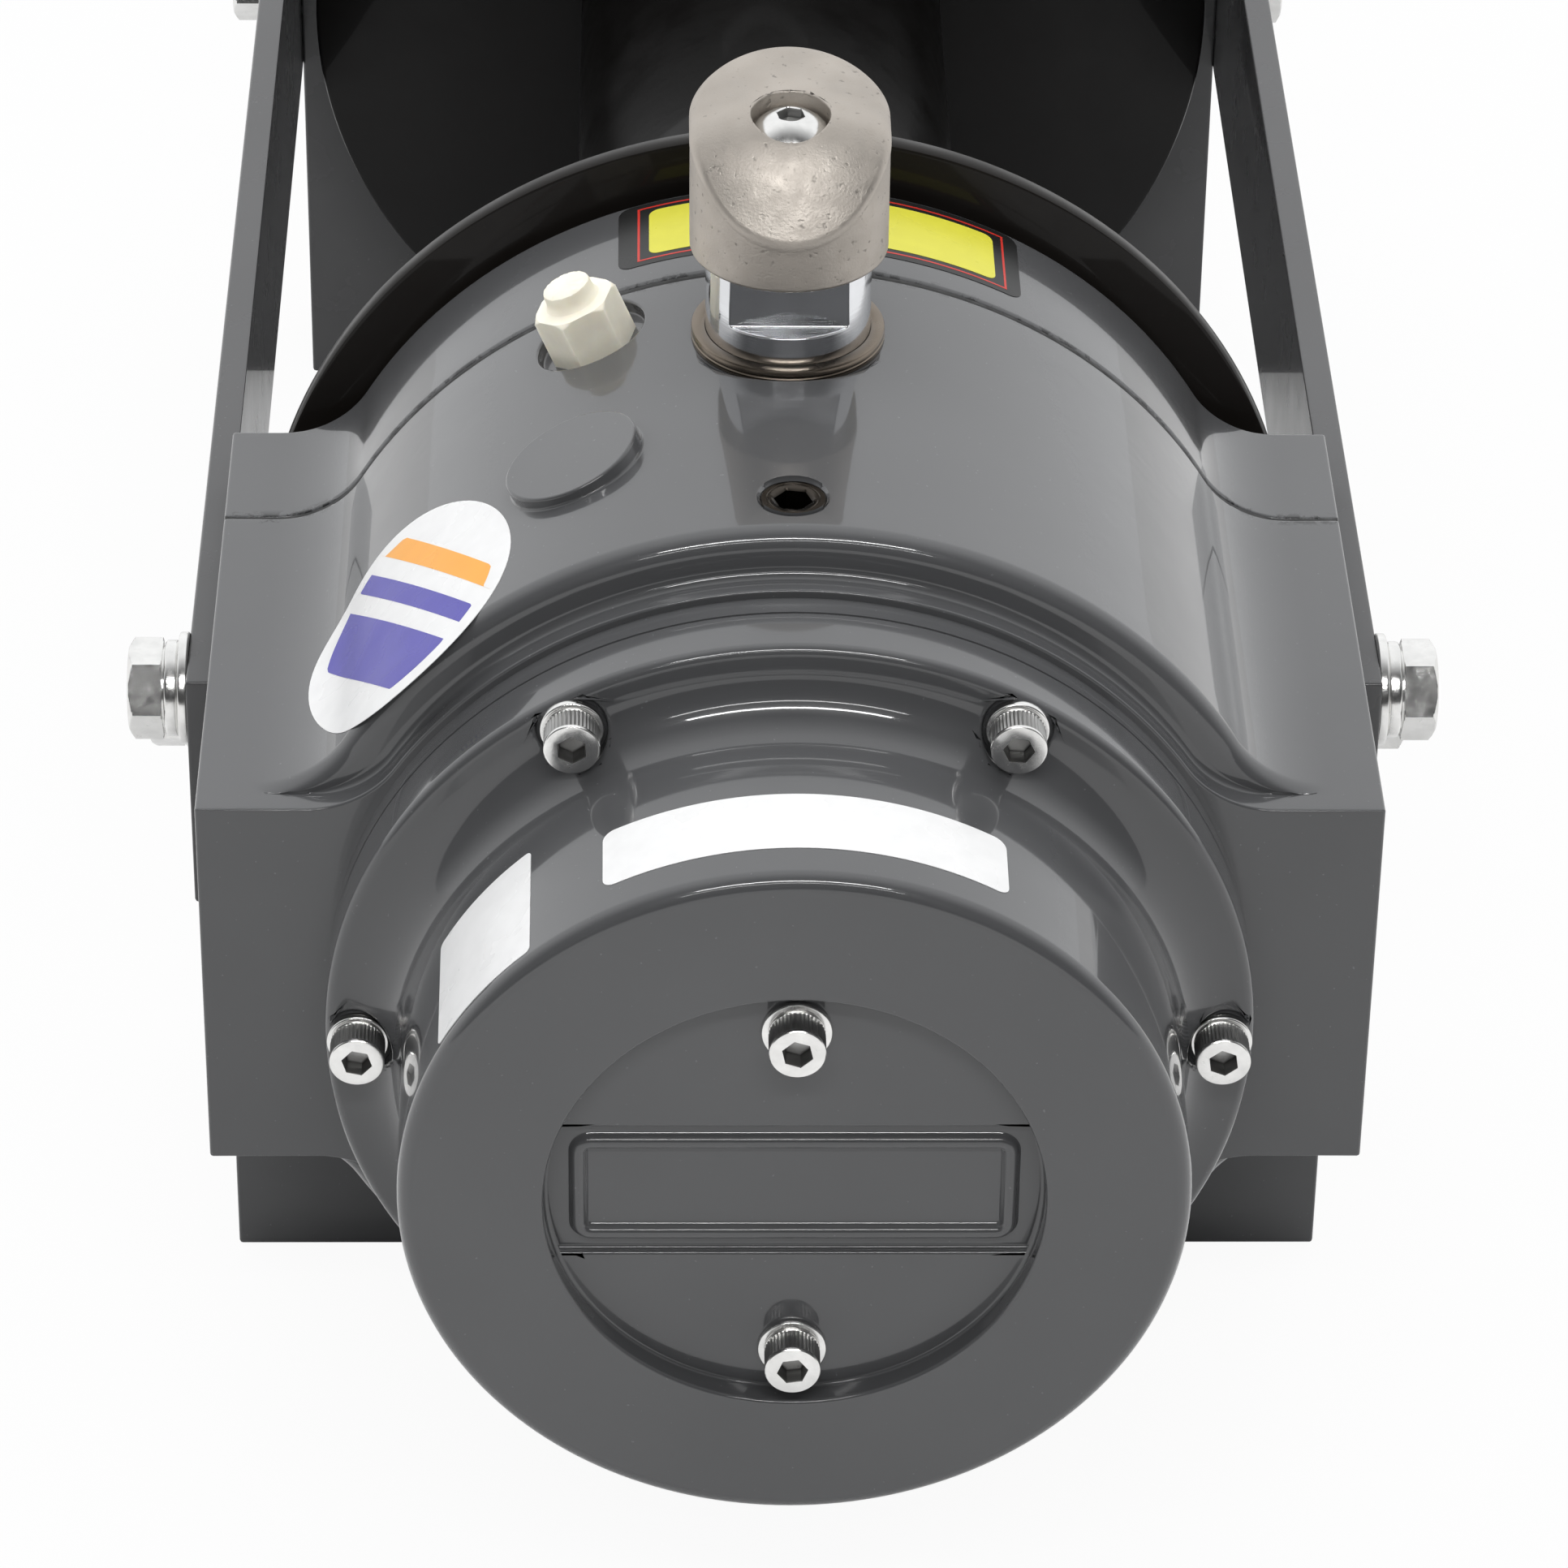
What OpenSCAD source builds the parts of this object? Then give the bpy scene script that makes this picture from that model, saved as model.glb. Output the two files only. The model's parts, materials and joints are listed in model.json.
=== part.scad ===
// Hydraulic winch with planetary gearing in the housing at one end,
// a hydraulic gear motor at the other end and the rope drum between them.
// Modules are drawn about the drum axis, with Y = 0 at the front of the
// gear housing and the motor at high Y. placed() moves them into the part's frame.

/* [Gear housing] */
// Width across the two ears of the housing
block_w = 280; // [272:1:300]
// Height of the ears, centred on the drum axis
ear_h = 102; // [96:1:108]
// Length of the front casting
front_len = 130; // [128:0.5:140]
// Length of the casting beside the drum
rear_len = 42; // [40:1:54]
// How far the ears stand out beside the round housing
ear_out = 17; // [14:0.5:20]
// Step from the round housing down to the lip round its mouth
lip_step = 11; // [9:0.5:12]
// Length of the lip before the housing steps up to its full radius
lip_len = 3.5; // [2:0.5:6]
// Blend radius between an ear and the round housing
ear_blend_r = 26; // [12:1:34]
// Clearance between the round housing and the floor
floor_gap = 17; // [16:1:40]
// Thickness of the gasket between the two castings
gasket_t = 0.8; // [0.5:0.1:1.5]

/* [Gear cover] */
// Step from the lip of the housing down to the cover flange
flange_step = 2; // [1:0.5:3]
// Thickness of the cover flange
flange_t = 15; // [12:0.5:20]
// Width of the flange outside the front face of the cover drum
flange_rim = 19; // [18:0.5:20]
// Length of the cover drum in front of its flange
cover_len = 65; // [64:1:90]
// Radius of the concave blend between drum and flange
cover_blend_r = 14; // [8:1:16]
// Width of the flat rim round the recess in the front face
face_rim = 33.5; // [28:0.5:36]
// Depth of the recess at the two screws
recess_depth = 6; // [4:0.5:8]
// Height of the band across the recess
band_h = 36; // [34:1:44]
// Distance between the raised frame and the ends of the band
frame_end_gap = 6; // [5.5:0.5:18]
// Height of the raised frame on the band
frame_h = 30; // [20:1:31]
// Distance of each flange screw from the edge of the flange
cover_screw_inset = 8; // [7:0.5:9]
// Distance of each front screw from the side of the recess
front_screw_inset = 12; // [11:0.5:14]

/* [Gear train] */
// Teeth on each sun gear
sun_teeth = 15; // [15]
// Teeth on each planet gear
planet_teeth = 18; // [18]
// Wall of the first ring gear outside its teeth
first_ring_wall = 13.25; // [13:0.25:18]
// Wall of the second ring gear outside its teeth
second_ring_wall = 22.9; // [22:0.1:28]
// Face width of the first stage planets
first_gear_w = 22; // [16:1:22]
// Face width of the second stage planets
second_gear_w = 39; // [30:1:39]
// Wall of the first sun gear between its teeth and the drive shaft
sun_wall = 6.25; // [6:0.25:7]

/* [Drum] */
// Outer radius of the drum barrel
barrel_r = 54; // [53.5:0.5:60]
// Gap between each drum flange and the rails
flange_side_gap = 6; // [5:0.5:20]
// Thickness of a drum flange
drum_flange_t = 6; // [4:0.5:8]
// Clear width between the drum flanges
drum_w = 316; // [200:1:500]
// Wall of the drum barrel
barrel_wall = 8; // [5:0.5:8]
// Radius of the hole that takes the rope end
rope_hole_r = 6; // [4:0.5:8]

/* [Frame] */
// Thickness of a side rail
rail_t = 7.4; // [5:0.1:10]
// Height of a side rail
rail_h = 66; // [60:1:70]
// Length of a side rail beside the housing
rail_lap = 93; // [92:1:104]
// Length of the foot under the housing
foot_len = 92; // [90:1:100]
// Thickness of the motor support along the drum axis
support_t = 44; // [42:1:60]
// Distance of each mounting hole from the middle plane
mount_x = 105; // [100:1:110]
// Radius of each tapped mounting hole
mount_hole_r = 7; // [5:0.5:8]
// Depth of each mounting hole
mount_hole_depth = 32; // [20:1:40]

/* [Clutch] */
// Radius of the clutch shaft
clutch_shaft_r = 20; // [19:0.5:20]
// Distance of the clutch axis in front of the gasket
clutch_inset = 29; // [26:1:30]
// Length of clutch shaft that shows below the knob
clutch_show = 21.5; // [15:0.5:26]
// Radius of the round ends of the knob
knob_r = 24; // [23:0.5:26]
// How far the knob is drawn out to the rear
knob_reach = 11; // [8:0.5:14]
// Height of the knob at its level top
knob_h = 36.5; // [35:0.5:40]
// Height of the knob at its front edge
knob_front_h = 13.5; // [12:0.5:16]
// Slope of the front of the knob, in degrees
knob_slope = 58; // [54:1:62]
// Radius of the crowned top of the knob
knob_crown_r = 60; // [50:0.5:70]

/* [Hydraulic motor] */
// Width of the motor body
motor_w = 88; // [86:1:100]
// Length of the motor body
motor_len = 56; // [54:1:70]
// Wall round the gears of the motor
motor_wall = 16.7; // [16.5:0.1:20]
// Teeth on each motor gear
motor_teeth = 12; // [12]
// Tooth module of the motor gears
motor_module = 3.5; // [3.4:0.1:3.5]
// Radius of each hose port
port_r = 9.3; // [7:0.1:9.5]
// Depth of each hose port
port_depth = 16; // [12:0.5:20]

/* [Hidden] */
$fn = 96;

// Clearances and the overrun that all cuts share
cut = 1;
fit_gap = 0.05;
seat_gap = 0.3;
side_gap = 0.5;
thread_gap = 0.05;
bolt_gap = 0.5;
hole_end_gap = 2;

// Screw sizes: shank diameter, head diameter, head height, socket across flats
m8 = [8, 13, 8, 6];
m10 = [10, 16, 10, 8];
button_m10 = [10, 17.5, 5.5, 6];
button_rim_h = 1.4;
m12 = [12, 18, 12, 10];
socket_share = 0.55;

// Colours
paint = [0.24, 0.25, 0.26];
dark_paint = [0.2, 0.21, 0.22];
black_paint = [0.05, 0.05, 0.05];
zinc = [0.78, 0.79, 0.8];
steel = [0.6, 0.6, 0.62];
gear_steel = [0.5, 0.5, 0.52];
bronze = [0.68, 0.5, 0.28];
rubber_black = [0.08, 0.08, 0.08];
motor_iron = [0.16, 0.17, 0.18];

// Radii of the housing and the cover
body_r = block_w / 2 - ear_out;
axis_h = body_r + floor_gap;
lip_r = body_r - lip_step;
lip_wall = 20;
housing_bore_r = lip_r - lip_wall;
housing_wall = 20;
second_ring_r = body_r - housing_wall;
flange_r = lip_r - flange_step;
cover_r = flange_r - flange_rim;
cover_side_wall = 11;
cover_bore_r = cover_r - cover_side_wall;
recess_r = cover_r - face_rim;
frame_w = 2 * (recess_r - frame_end_gap);
cover_screw_ring_r = flange_r - cover_screw_inset;
front_screw_r = recess_r - front_screw_inset;
drum_flange_r = block_w / 2 - flange_side_gap;

// Gear teeth
ring_teeth = sun_teeth + 2 * planet_teeth;
pressure_angle = 25;
addendum_share = 0.9;
dedendum_share = 1.2;
flank_thin = 0.12;
first_module = (cover_bore_r - first_ring_wall) / (ring_teeth / 2 + dedendum_share);
second_module = (second_ring_r - second_ring_wall) / (ring_teeth / 2 + dedendum_share);
shaft_r = first_module * (sun_teeth / 2 - dedendum_share) - sun_wall;

// Stations along the drum axis, from the cover to the drum
spot_depth = 0.3;
ring_flange_t = 6;
cover_wall = 7;
thrust_t = 7;
thrust_rim = 2;
thrust_floor = 2;
cover_seat_y = -ring_flange_t - flange_t;
flange_face_y = cover_seat_y - spot_depth;
cover_face_y = cover_seat_y - cover_len;
recess_y = cover_face_y + recess_depth;
band_depth = 2;
band_y = recess_y + band_depth;
cover_inner_y = band_y + cover_wall;
thrust_y = cover_inner_y + thrust_t;
front_housing_end = front_len;
rear_housing_start = front_len + gasket_t;
housing_end = front_len + rear_len;

// First stage
carrier_t = 12;
first_carrier_y = -8;
first_pitch_r = first_module * sun_teeth / 2 + first_module * planet_teeth / 2;
first_planet_y = first_carrier_y - carrier_t - side_gap - first_gear_w;
first_ring_teeth_y = first_planet_y - side_gap;
first_pin_r = 8;
first_carrier_r = first_pitch_r + first_module * planet_teeth / 2;
pin_end_len = 3;
carrier_room = 4;
ring_spigot_len = 4;
sun_shaft_step = 1.9;
sun_shaft_r = second_module * (sun_teeth / 2 - dedendum_share) - sun_shaft_step;

// Second stage
second_pitch_r = second_module * (sun_teeth + planet_teeth) / 2;
second_ring_end = front_housing_end + gasket_t - side_gap;
second_ring_w = 54;
second_ring_y = second_ring_end - second_ring_w;
ring_bore_y = second_ring_y - seat_gap;
carrier_overhang = 3.7;
second_carrier_end = second_ring_end + carrier_overhang;
second_planet_y = second_carrier_end - carrier_t - side_gap - second_gear_w;
second_carrier_y = second_planet_y - side_gap - carrier_t;
second_pin_r = 10;
carrier_ring_gap = 3.8;
second_carrier_r = second_module * (ring_teeth / 2 - addendum_share) - carrier_ring_gap;
carrier_web_w = 16;
carrier_web_share = 0.6;
notch_count = 12;
notch_w = 16;
notch_depth = 6.5;
notch_len = 20;

// Drum bearings and hub
journal_r = 45;
bush_r = 52;
seal_r = 58;
seal_t = 8;
drum_shaft_bore_r = 22;
hub_inset = 7.2;
hub_start = rear_housing_start + hub_inset;
hub_end_gap = 1;
spline_r = 23;
spline_tip_r = 26;
spline_w = 8;
spline_count = 6;
spline_len = 34;
shaft_run_gap = 1;
rotor_gap = 6;
drum_flange_y = housing_end + rotor_gap;
far_flange_y = drum_flange_y + drum_flange_t + drum_w;
barrel_end = far_flange_y + drum_flange_t + rotor_gap - side_gap;
barrel_start = housing_end + side_gap;
support_boss_len = 16;
support_boss_y = barrel_end + side_gap;
support_y = support_boss_y + support_boss_len;
support_end = support_y + support_t;
far_journal_reach = 20;
far_journal_end = support_y + far_journal_reach;
drum_web_t = 12;
rope_hole_inset = 24;
rope_hole_y = far_flange_y - rope_hole_inset;

// Housing foot, rails and their bolts
foot_y = housing_end - foot_len;
foot_h = axis_h - ear_h / 2;
foot_screw_side = 13;
foot_screw_x = block_w / 2 - foot_screw_side;
foot_screw_inset = 20;
foot_screw_reach = 22;
head_sink = 2;
rail_mid_z = 2;
rail_end = support_end;
hex_flats = 22;
hex_h = 9;
rail_bolt_r = 7;
rail_bolt_reach = 26;
flat_washer_r = 14;
flat_washer_t = 2.5;
spring_washer_r = 12;
spring_washer_t = 3.5;
washer_split = 2;
upper_bolt_z = 23;
lower_bolt_z = -18;
upper_bolt_inset = 16;
lower_bolt_inset = 20;
rail_front = housing_end - rail_lap;
upper_bolt_y = rail_front + upper_bolt_inset;
lower_bolt_y = housing_end - lower_bolt_inset;
support_bolt_inset = 12;
rail_bolt_places = [
    [upper_bolt_y, upper_bolt_z],
    [lower_bolt_y, lower_bolt_z],
    [support_y + support_bolt_inset, upper_bolt_z],
    [support_end - support_bolt_inset, lower_bolt_z]
];

// Cover screws
cover_screw_count = 6;
cover_screw_len = 38;
cover_washer_r = 7.4;
cover_washer_t = 2;
cover_screw_end = cover_seat_y - cover_washer_t + cover_screw_len;
spot_face_r = 9;
front_screw_len = 17;
front_washer_r = 8;
front_washer_t = 1.6;
front_end_y = recess_y - front_washer_t - m8[2];
ridge_w = 4;
ridge_round_r = 5;
cover_edge_r = 4;
cover_draft = 0.5;
flange_edge_r = 2.5;

// Screws that join the two castings
housing_screw_angles = [0, 45, 135, 180, 225, 315];
housing_screw_inset = 10;
housing_screw_ring_r = body_r - housing_screw_inset;
housing_screw_sink = 9;
housing_screw_len = 62;
housing_screw_end = housing_end - housing_screw_sink - housing_screw_len;

// Shoulder of the front casting
shoulder_r = 5;
lip_fillet_r = 3;
shoulder_len = 9;
shoulder_steps = 4;

// Plugs and pads on the housing
level_plug_y = 23.5;
level_plug_r = 7.85;
level_plug_len = 14;
level_socket_flats = 8;
level_socket_depth = 6;
level_plug_sink = 0.5;
breather_angle = -23;
breather_inset = 15;
breather_y = front_len - breather_inset;
breather_seat_r = 14;
breather_sink = 4;
breather_flats = 19;
breather_turn = 14;
breather_hex_h = 14;
breather_stub_r = 6;
breather_stub_h = 5.5;
breather_shank_r = 8;
breather_shank_len = 12;
pad_angle = -24.5;
pad_y = 56;
pad_r = 17;
pad_h = 2.8;

// Clutch parts, upwards from the top of the housing
clutch_y = front_len - clutch_inset;
clutch_spot_depth = 2;
clutch_spot_r = 24.6;
bush_flange_t = 3.5;
bush_flange_r = 23.4;
bush_sleeve_r = 22;
bush_sleeve_len = 10;
bush_seat_z = body_r - clutch_spot_depth;
dog_w = 15.4;
dog_len = 19.4;
dog_depth = 6.6;
dog_rise = 0.8;
dog_z = second_ring_r + dog_rise;
dog_guide_top = bush_seat_z - bush_sleeve_len - side_gap;
dog_neck_r = 8;
dog_neck_len = 13;
clutch_flat = 28;
clutch_collar_h = 7;
knob_z = bush_seat_z + bush_flange_t + clutch_show;
knob_socket_depth = 10;
knob_counterbore_r = 9.5;
clutch_tap_depth = 24;
clutch_screw_drop = 0.5;
clutch_screw_seat_h = knob_h - clutch_screw_drop - button_m10[2];
knob_cut_len = 2 * (2 * knob_r + knob_reach);

// Motor support
support_boss_r = 72;
support_round_r = 92;
support_pocket_t = 14;
pocket_side_x = 80;
pocket_low = 40;
pocket_h = 50;
pocket_gap = 16;
pocket_w = block_w / 2 - pocket_gap - pocket_side_x;

// Motor
gear_centre = motor_module * motor_teeth;
motor_tip_r = motor_module * (motor_teeth / 2 + addendum_share);
chamber_gap = 0.15;
motor_chamber_r = motor_tip_r + chamber_gap;
block_len = 14;
motor_shaft_step = 0.5;
motor_shaft_r = shaft_r - motor_shaft_step;
motor_front_t = 22;
motor_rear_t = 18;
motor_top_z = motor_chamber_r + motor_wall;
motor_low_z = -gear_centre - motor_chamber_r - motor_wall;
motor_round_r = 14;
motor_front_y = support_end;
motor_body_y = motor_front_y + motor_front_t;
motor_rear_y = motor_body_y + motor_len;
motor_end = motor_rear_y + motor_rear_t;
motor_bolt_inset = 11;
motor_flange_w = 150;
motor_flange_h = 84;
motor_flange_inset = 14;
motor_bolt_reach = 12;
motor_mount_reach = 22;
shaft_seal_r = 20;
shaft_seal_t = 7;
coupling_r = 17;
coupling_len = 32;
coupling_room = 4;
coupling_clear = 2;
valve_w = 88;
valve_len = 44;
valve_h = 50;
valve_screw_inset = 7.5;
valve_screw_reach = 11;
cartridge_z = 15;
valve_port_x = 20;
valve_passage_r = 5;
cartridge_flats = 24;
cartridge_h = 14;
cartridge_r = 11;
cartridge_reach = 21;
back_end_y = motor_end + m10[2];

// The part's frame: X and Y centred, Z = 0 on the floor
mid_y = (front_end_y + back_end_y) / 2;
module placed() {
    translate([0, -mid_y, axis_h]) children();
}

// Shared shapes

function arc(cx, cy, r, from, to, steps) =
    [for (i = [0:steps]) let (a = from + (to - from) * i / steps) [cx + r * cos(a), cy + r * sin(a)]];

// A round bar along the drum axis
module rod(r, from, to) {
    translate([0, from, 0]) rotate([-90, 0, 0]) cylinder(r = r, h = to - from);
}

// A flat shape drawn in X and Z, given a thickness along Y
module slab(from, to) {
    translate([0, to, 0]) rotate([90, 0, 0]) linear_extrude(height = to - from) children();
}

// A profile of radius and Y, turned about the drum axis
module turned(points) {
    rotate([-90, 0, 0]) rotate_extrude() polygon(points);
}

// Copies its children round the drum axis, starting on the +X side
module round_axis(count) {
    for (i = [0:count - 1]) rotate([0, -360 * i / count, 0]) children();
}

module ring(outer, inner, height) {
    difference() {
        cylinder(r = outer, h = height);
        translate([0, 0, -cut]) cylinder(r = inner, h = height + 2 * cut);
    }
}

module hexagon(flats, height) {
    cylinder(d = flats / cos(30), h = height, $fn = 6);
}

// A socket head screw whose head lies below z = 0 and whose shank points up
module socket_screw(size, len) {
    difference() {
        union() {
            translate([0, 0, -size[2]]) cylinder(d = size[1], h = size[2]);
            cylinder(d = size[0], h = len);
        }
        translate([0, 0, -size[2] - cut]) hexagon(size[3], size[2] * socket_share + cut);
    }
}

// A screw with a domed head that lies below z = 0 and a shank that points up
module button_screw(size, len) {
    rise = size[2] - button_rim_h;
    dome_r = (pow(size[1] / 2, 2) + pow(rise, 2)) / (2 * rise);
    difference() {
        union() {
            intersection() {
                translate([0, 0, -size[2]]) cylinder(d = size[1], h = size[2]);
                translate([0, 0, dome_r - size[2]]) sphere(r = dome_r);
            }
            cylinder(d = size[0], h = len);
        }
        translate([0, 0, -size[2] - cut]) hexagon(size[3], size[2] * socket_share + cut);
    }
}

// A box with round vertical edges
module round_box(w, d, h, r) {
    translate([-w / 2 + r, -d / 2, 0]) cube([w - 2 * r, d, h]);
    translate([-w / 2, -d / 2 + r, 0]) cube([w, d - 2 * r, h]);
    for (sx = [-1, 1], sy = [-1, 1]) {
        translate([sx * (w / 2 - r), sy * (d / 2 - r), 0]) cylinder(r = r, h = h);
    }
}

// A box standing in X and Z with its round edges along Y
module round_slab(w, h, from, to, r, mid_z) {
    translate([0, to, mid_z]) rotate([90, 0, 0]) round_box(w, h, to - from, r);
}

// Gear teeth

function involute(a) = tan(a) * 180 / PI - a;
function tooth_half(n, m, r, thin) =
    let (pitch = m * n / 2, base = pitch * cos(pressure_angle))
    90 / n - thin / pitch * 180 / PI + involute(pressure_angle) - involute(acos(min(1, base / r)));
function polar(r, a) = [r * cos(a), r * sin(a)];
function gear_points(n, m, root, tip, thin) =
    let (base = m * n / 2 * cos(pressure_angle), low = max(root, base), mid = (low + tip) / 2)
    [for (i = [0:n - 1]) let (a = 360 * i / n)
        each concat(
            root < base ? [polar(root, a - tooth_half(n, m, low, thin))] : [],
            [for (r = [low, mid, tip]) polar(r, a - tooth_half(n, m, r, thin))],
            [for (r = [tip, mid, low]) polar(r, a + tooth_half(n, m, r, thin))],
            root < base ? [polar(root, a + tooth_half(n, m, low, thin))] : [])];

module spur_gear(n, m, from, to, turn) {
    pitch = m * n / 2;
    slab(from, to) rotate(turn)
        polygon(gear_points(n, m, pitch - dedendum_share * m, pitch + addendum_share * m, flank_thin));
}

// The space inside a ring gear, with a tooth of the ring centred on +X
module ring_space(n, m, from, to) {
    pitch = m * n / 2;
    slab(from, to) rotate(180 / n)
        polygon(gear_points(n, m, pitch - addendum_share * m, pitch + dedendum_share * m, -flank_thin));
}

// Turn of a planet at angle phi so that it meshes with its sun and its ring
function planet_turn(phi, sun, planet) = phi + 180 + (phi * sun - 180) / planet;

// Housing castings

// Fills the corner between an ear and the round housing of radius r
module ear_blend(r, from, to) {
    half = ear_h / 2;
    cx = sqrt(pow(r + ear_blend_r, 2) - pow(half + ear_blend_r, 2));
    share = r / (r + ear_blend_r);
    for (sx = [0, 1], sz = [0, 1]) {
        mirror([sx, 0, 0]) mirror([0, 0, sz]) slab(from, to) difference() {
            polygon([
                [cx * share - ear_blend_r / 2, half],
                [cx * share - ear_blend_r / 2, (half + ear_blend_r) * share],
                [cx * share, (half + ear_blend_r) * share],
                [cx, half + ear_blend_r],
                [cx, half]
            ]);
            translate([cx, half + ear_blend_r]) circle(r = ear_blend_r);
        }
    }
}

module ears(from, to) {
    translate([-block_w / 2, from, -ear_h / 2]) cube([block_w, to - from, ear_h]);
}

module housing_outline(r, from, to) {
    rod(r, from, to);
    ears(from, to);
    ear_blend(r, from, to);
}

module housing_screw_places() {
    for (a = housing_screw_angles) rotate([0, -a, 0]) translate([housing_screw_ring_r, 0, 0]) children();
}

module radial(angle, y) {
    translate([0, y, 0]) rotate([0, angle, 0]) children();
}

function shoulder_at(k) = lip_r + (body_r - lip_r) * k / shoulder_steps;

module gear_housing() {
    color(paint) difference() {
        union() {
            turned(concat(
                [[0, 0], [lip_r, 0]],
                arc(lip_r + lip_fillet_r, lip_len, lip_fillet_r, 180, 90, 6),
                arc(body_r - shoulder_r, lip_len + lip_fillet_r + shoulder_r, shoulder_r, -90, 0, 6),
                [[body_r, front_len], [0, front_len]]));
            ears(0, front_len);
            ear_blend(lip_r, 0, lip_len);
            for (k = [1:shoulder_steps - 1]) {
                ear_blend(shoulder_at(k), lip_len + shoulder_len * (k - 1) / shoulder_steps, front_len);
            }
            ear_blend(body_r, lip_len + shoulder_len, front_len);
            radial(pad_angle, pad_y) translate([0, 0, housing_bore_r + pad_r])
                cylinder(r = pad_r, h = body_r + pad_h - housing_bore_r - pad_r);
        }
        rod(housing_bore_r, -cut, ring_bore_y + cut);
        rod(second_ring_r + seat_gap, ring_bore_y, front_len + cut);
        housing_screw_places() rod(m8[0] / 2 + thread_gap, housing_screw_end - hole_end_gap, front_len + cut);
        cover_screw_places() rod(m8[0] / 2 + thread_gap, -cut, cover_screw_end + hole_end_gap);
        rail_bolt_holes();
        foot_screw_holes();
        translate([0, clutch_y, bush_seat_z]) cylinder(r = clutch_spot_r, h = body_r);
        translate([0, clutch_y, bush_seat_z - bush_sleeve_len])
            cylinder(r = bush_sleeve_r + fit_gap, h = bush_sleeve_len + cut);
        translate([0, clutch_y, housing_bore_r])
            cylinder(r = clutch_shaft_r + fit_gap, h = body_r - housing_bore_r);
        radial(0, level_plug_y) translate([0, 0, housing_bore_r - 2 * cut])
            cylinder(r = level_plug_r + thread_gap, h = body_r);
        radial(breather_angle, breather_y) {
            translate([0, 0, body_r - breather_sink]) cylinder(r = breather_seat_r, h = body_r);
            translate([0, 0, housing_bore_r]) cylinder(r = breather_shank_r + thread_gap, h = body_r);
        }
    }
}

module drum_side_housing() {
    color(paint) difference() {
        housing_outline(body_r, rear_housing_start, housing_end);
        rod(second_ring_r + seat_gap, rear_housing_start - cut, hub_start - side_gap);
        rod(bush_r + fit_gap, rear_housing_start, housing_end + cut);
        rod(seal_r + fit_gap, housing_end - seal_t, housing_end + cut);
        housing_screw_places() {
            rod(m8[0] / 2 + bolt_gap, rear_housing_start - cut, housing_end + cut);
            rod(m8[1] / 2 + bolt_gap, housing_end - housing_screw_sink, housing_end + cut);
        }
        rail_bolt_holes();
        foot_screw_holes();
    }
}

module housing_gasket() {
    color(rubber_black) difference() {
        housing_outline(body_r, front_len, rear_housing_start);
        rod(second_ring_r + seat_gap, front_len - cut, rear_housing_start + cut);
        housing_screw_places() rod(m8[0] / 2 + bolt_gap, front_len - cut, rear_housing_start + cut);
    }
}

module housing_screws() {
    color(zinc) housing_screw_places() translate([0, housing_end - housing_screw_sink, 0])
        rotate([90, 0, 0]) socket_screw(m8, housing_screw_len);
}

// Cover and first stage ring

module cover_screw_places() {
    round_axis(cover_screw_count) translate([cover_screw_ring_r, 0, 0]) children();
}

module gear_cover() {
    drum_back_r = cover_r + cover_draft;
    color(paint) difference() {
        turned(concat(
            [[0, cover_face_y]],
            arc(cover_r - cover_edge_r, cover_face_y + cover_edge_r, cover_edge_r, -90, 0, 6),
            arc(drum_back_r + cover_blend_r, flange_face_y - cover_blend_r, cover_blend_r, 180, 90, 8),
            arc(flange_r - flange_edge_r, flange_face_y + flange_edge_r, flange_edge_r, -90, 0, 5),
            [[flange_r, -ring_flange_t], [0, -ring_flange_t]]));
        rod(cover_bore_r, cover_inner_y, 0);
        rod(recess_r, cover_face_y - cut, recess_y);
        intersection() {
            rod(recess_r, cover_face_y, band_y);
            translate([-recess_r, cover_face_y - cut, -band_h / 2])
                cube([2 * recess_r, band_y - cover_face_y + cut, band_h]);
        }
        cover_screw_places() {
            rod(m8[0] / 2 + bolt_gap, cover_seat_y - cut, 0);
            rod(spot_face_r, cover_seat_y - cover_blend_r - cut, cover_seat_y);
        }
        front_screw_places() rod(m8[0] / 2 + bolt_gap, cover_face_y, cover_inner_y + cut);
    }
    color(paint) difference() {
        round_slab(frame_w, frame_h, recess_y, band_y, ridge_round_r, 0);
        round_slab(frame_w - 2 * ridge_w, frame_h - 2 * ridge_w, recess_y - cut, band_y + cut,
                   ridge_round_r - ridge_w / 2, 0);
    }
}

module cover_screws() {
    color(zinc) cover_screw_places() translate([0, cover_seat_y - cover_washer_t, 0])
        rotate([-90, 0, 0]) socket_screw(m8, cover_screw_len);
}

module cover_spring_washers() {
    color(zinc) cover_screw_places() translate([0, cover_seat_y - cover_washer_t, 0]) rotate([-90, 0, 0])
        split_washer(cover_washer_r, m8[0] / 2 + fit_gap, cover_washer_t);
}

module split_washer(outer, inner, t) {
    difference() {
        ring(outer, inner, t);
        translate([0, -washer_split / 2, -cut]) cube([outer + cut, washer_split, t + 2 * cut]);
    }
}

module front_screw_places() {
    for (s = [-1, 1]) translate([0, 0, s * front_screw_r]) children();
}

module front_screws() {
    color(zinc) front_screw_places() translate([0, recess_y - front_washer_t, 0])
        rotate([-90, 0, 0]) socket_screw(m8, front_screw_len);
}

module front_washers() {
    color(zinc) front_screw_places() translate([0, recess_y - front_washer_t, 0])
        rotate([-90, 0, 0]) ring(front_washer_r, m8[0] / 2 + fit_gap, front_washer_t);
}

module thrust_plate() {
    color(bronze) difference() {
        rod(front_screw_r + front_washer_r + thrust_rim, cover_inner_y, thrust_y);
        rod(first_pin_r + fit_gap, cover_inner_y + thrust_floor, thrust_y + cut);
        front_screw_places() rod(m8[0] / 2 + thread_gap, cover_inner_y - cut, thrust_y + cut);
    }
}

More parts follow.
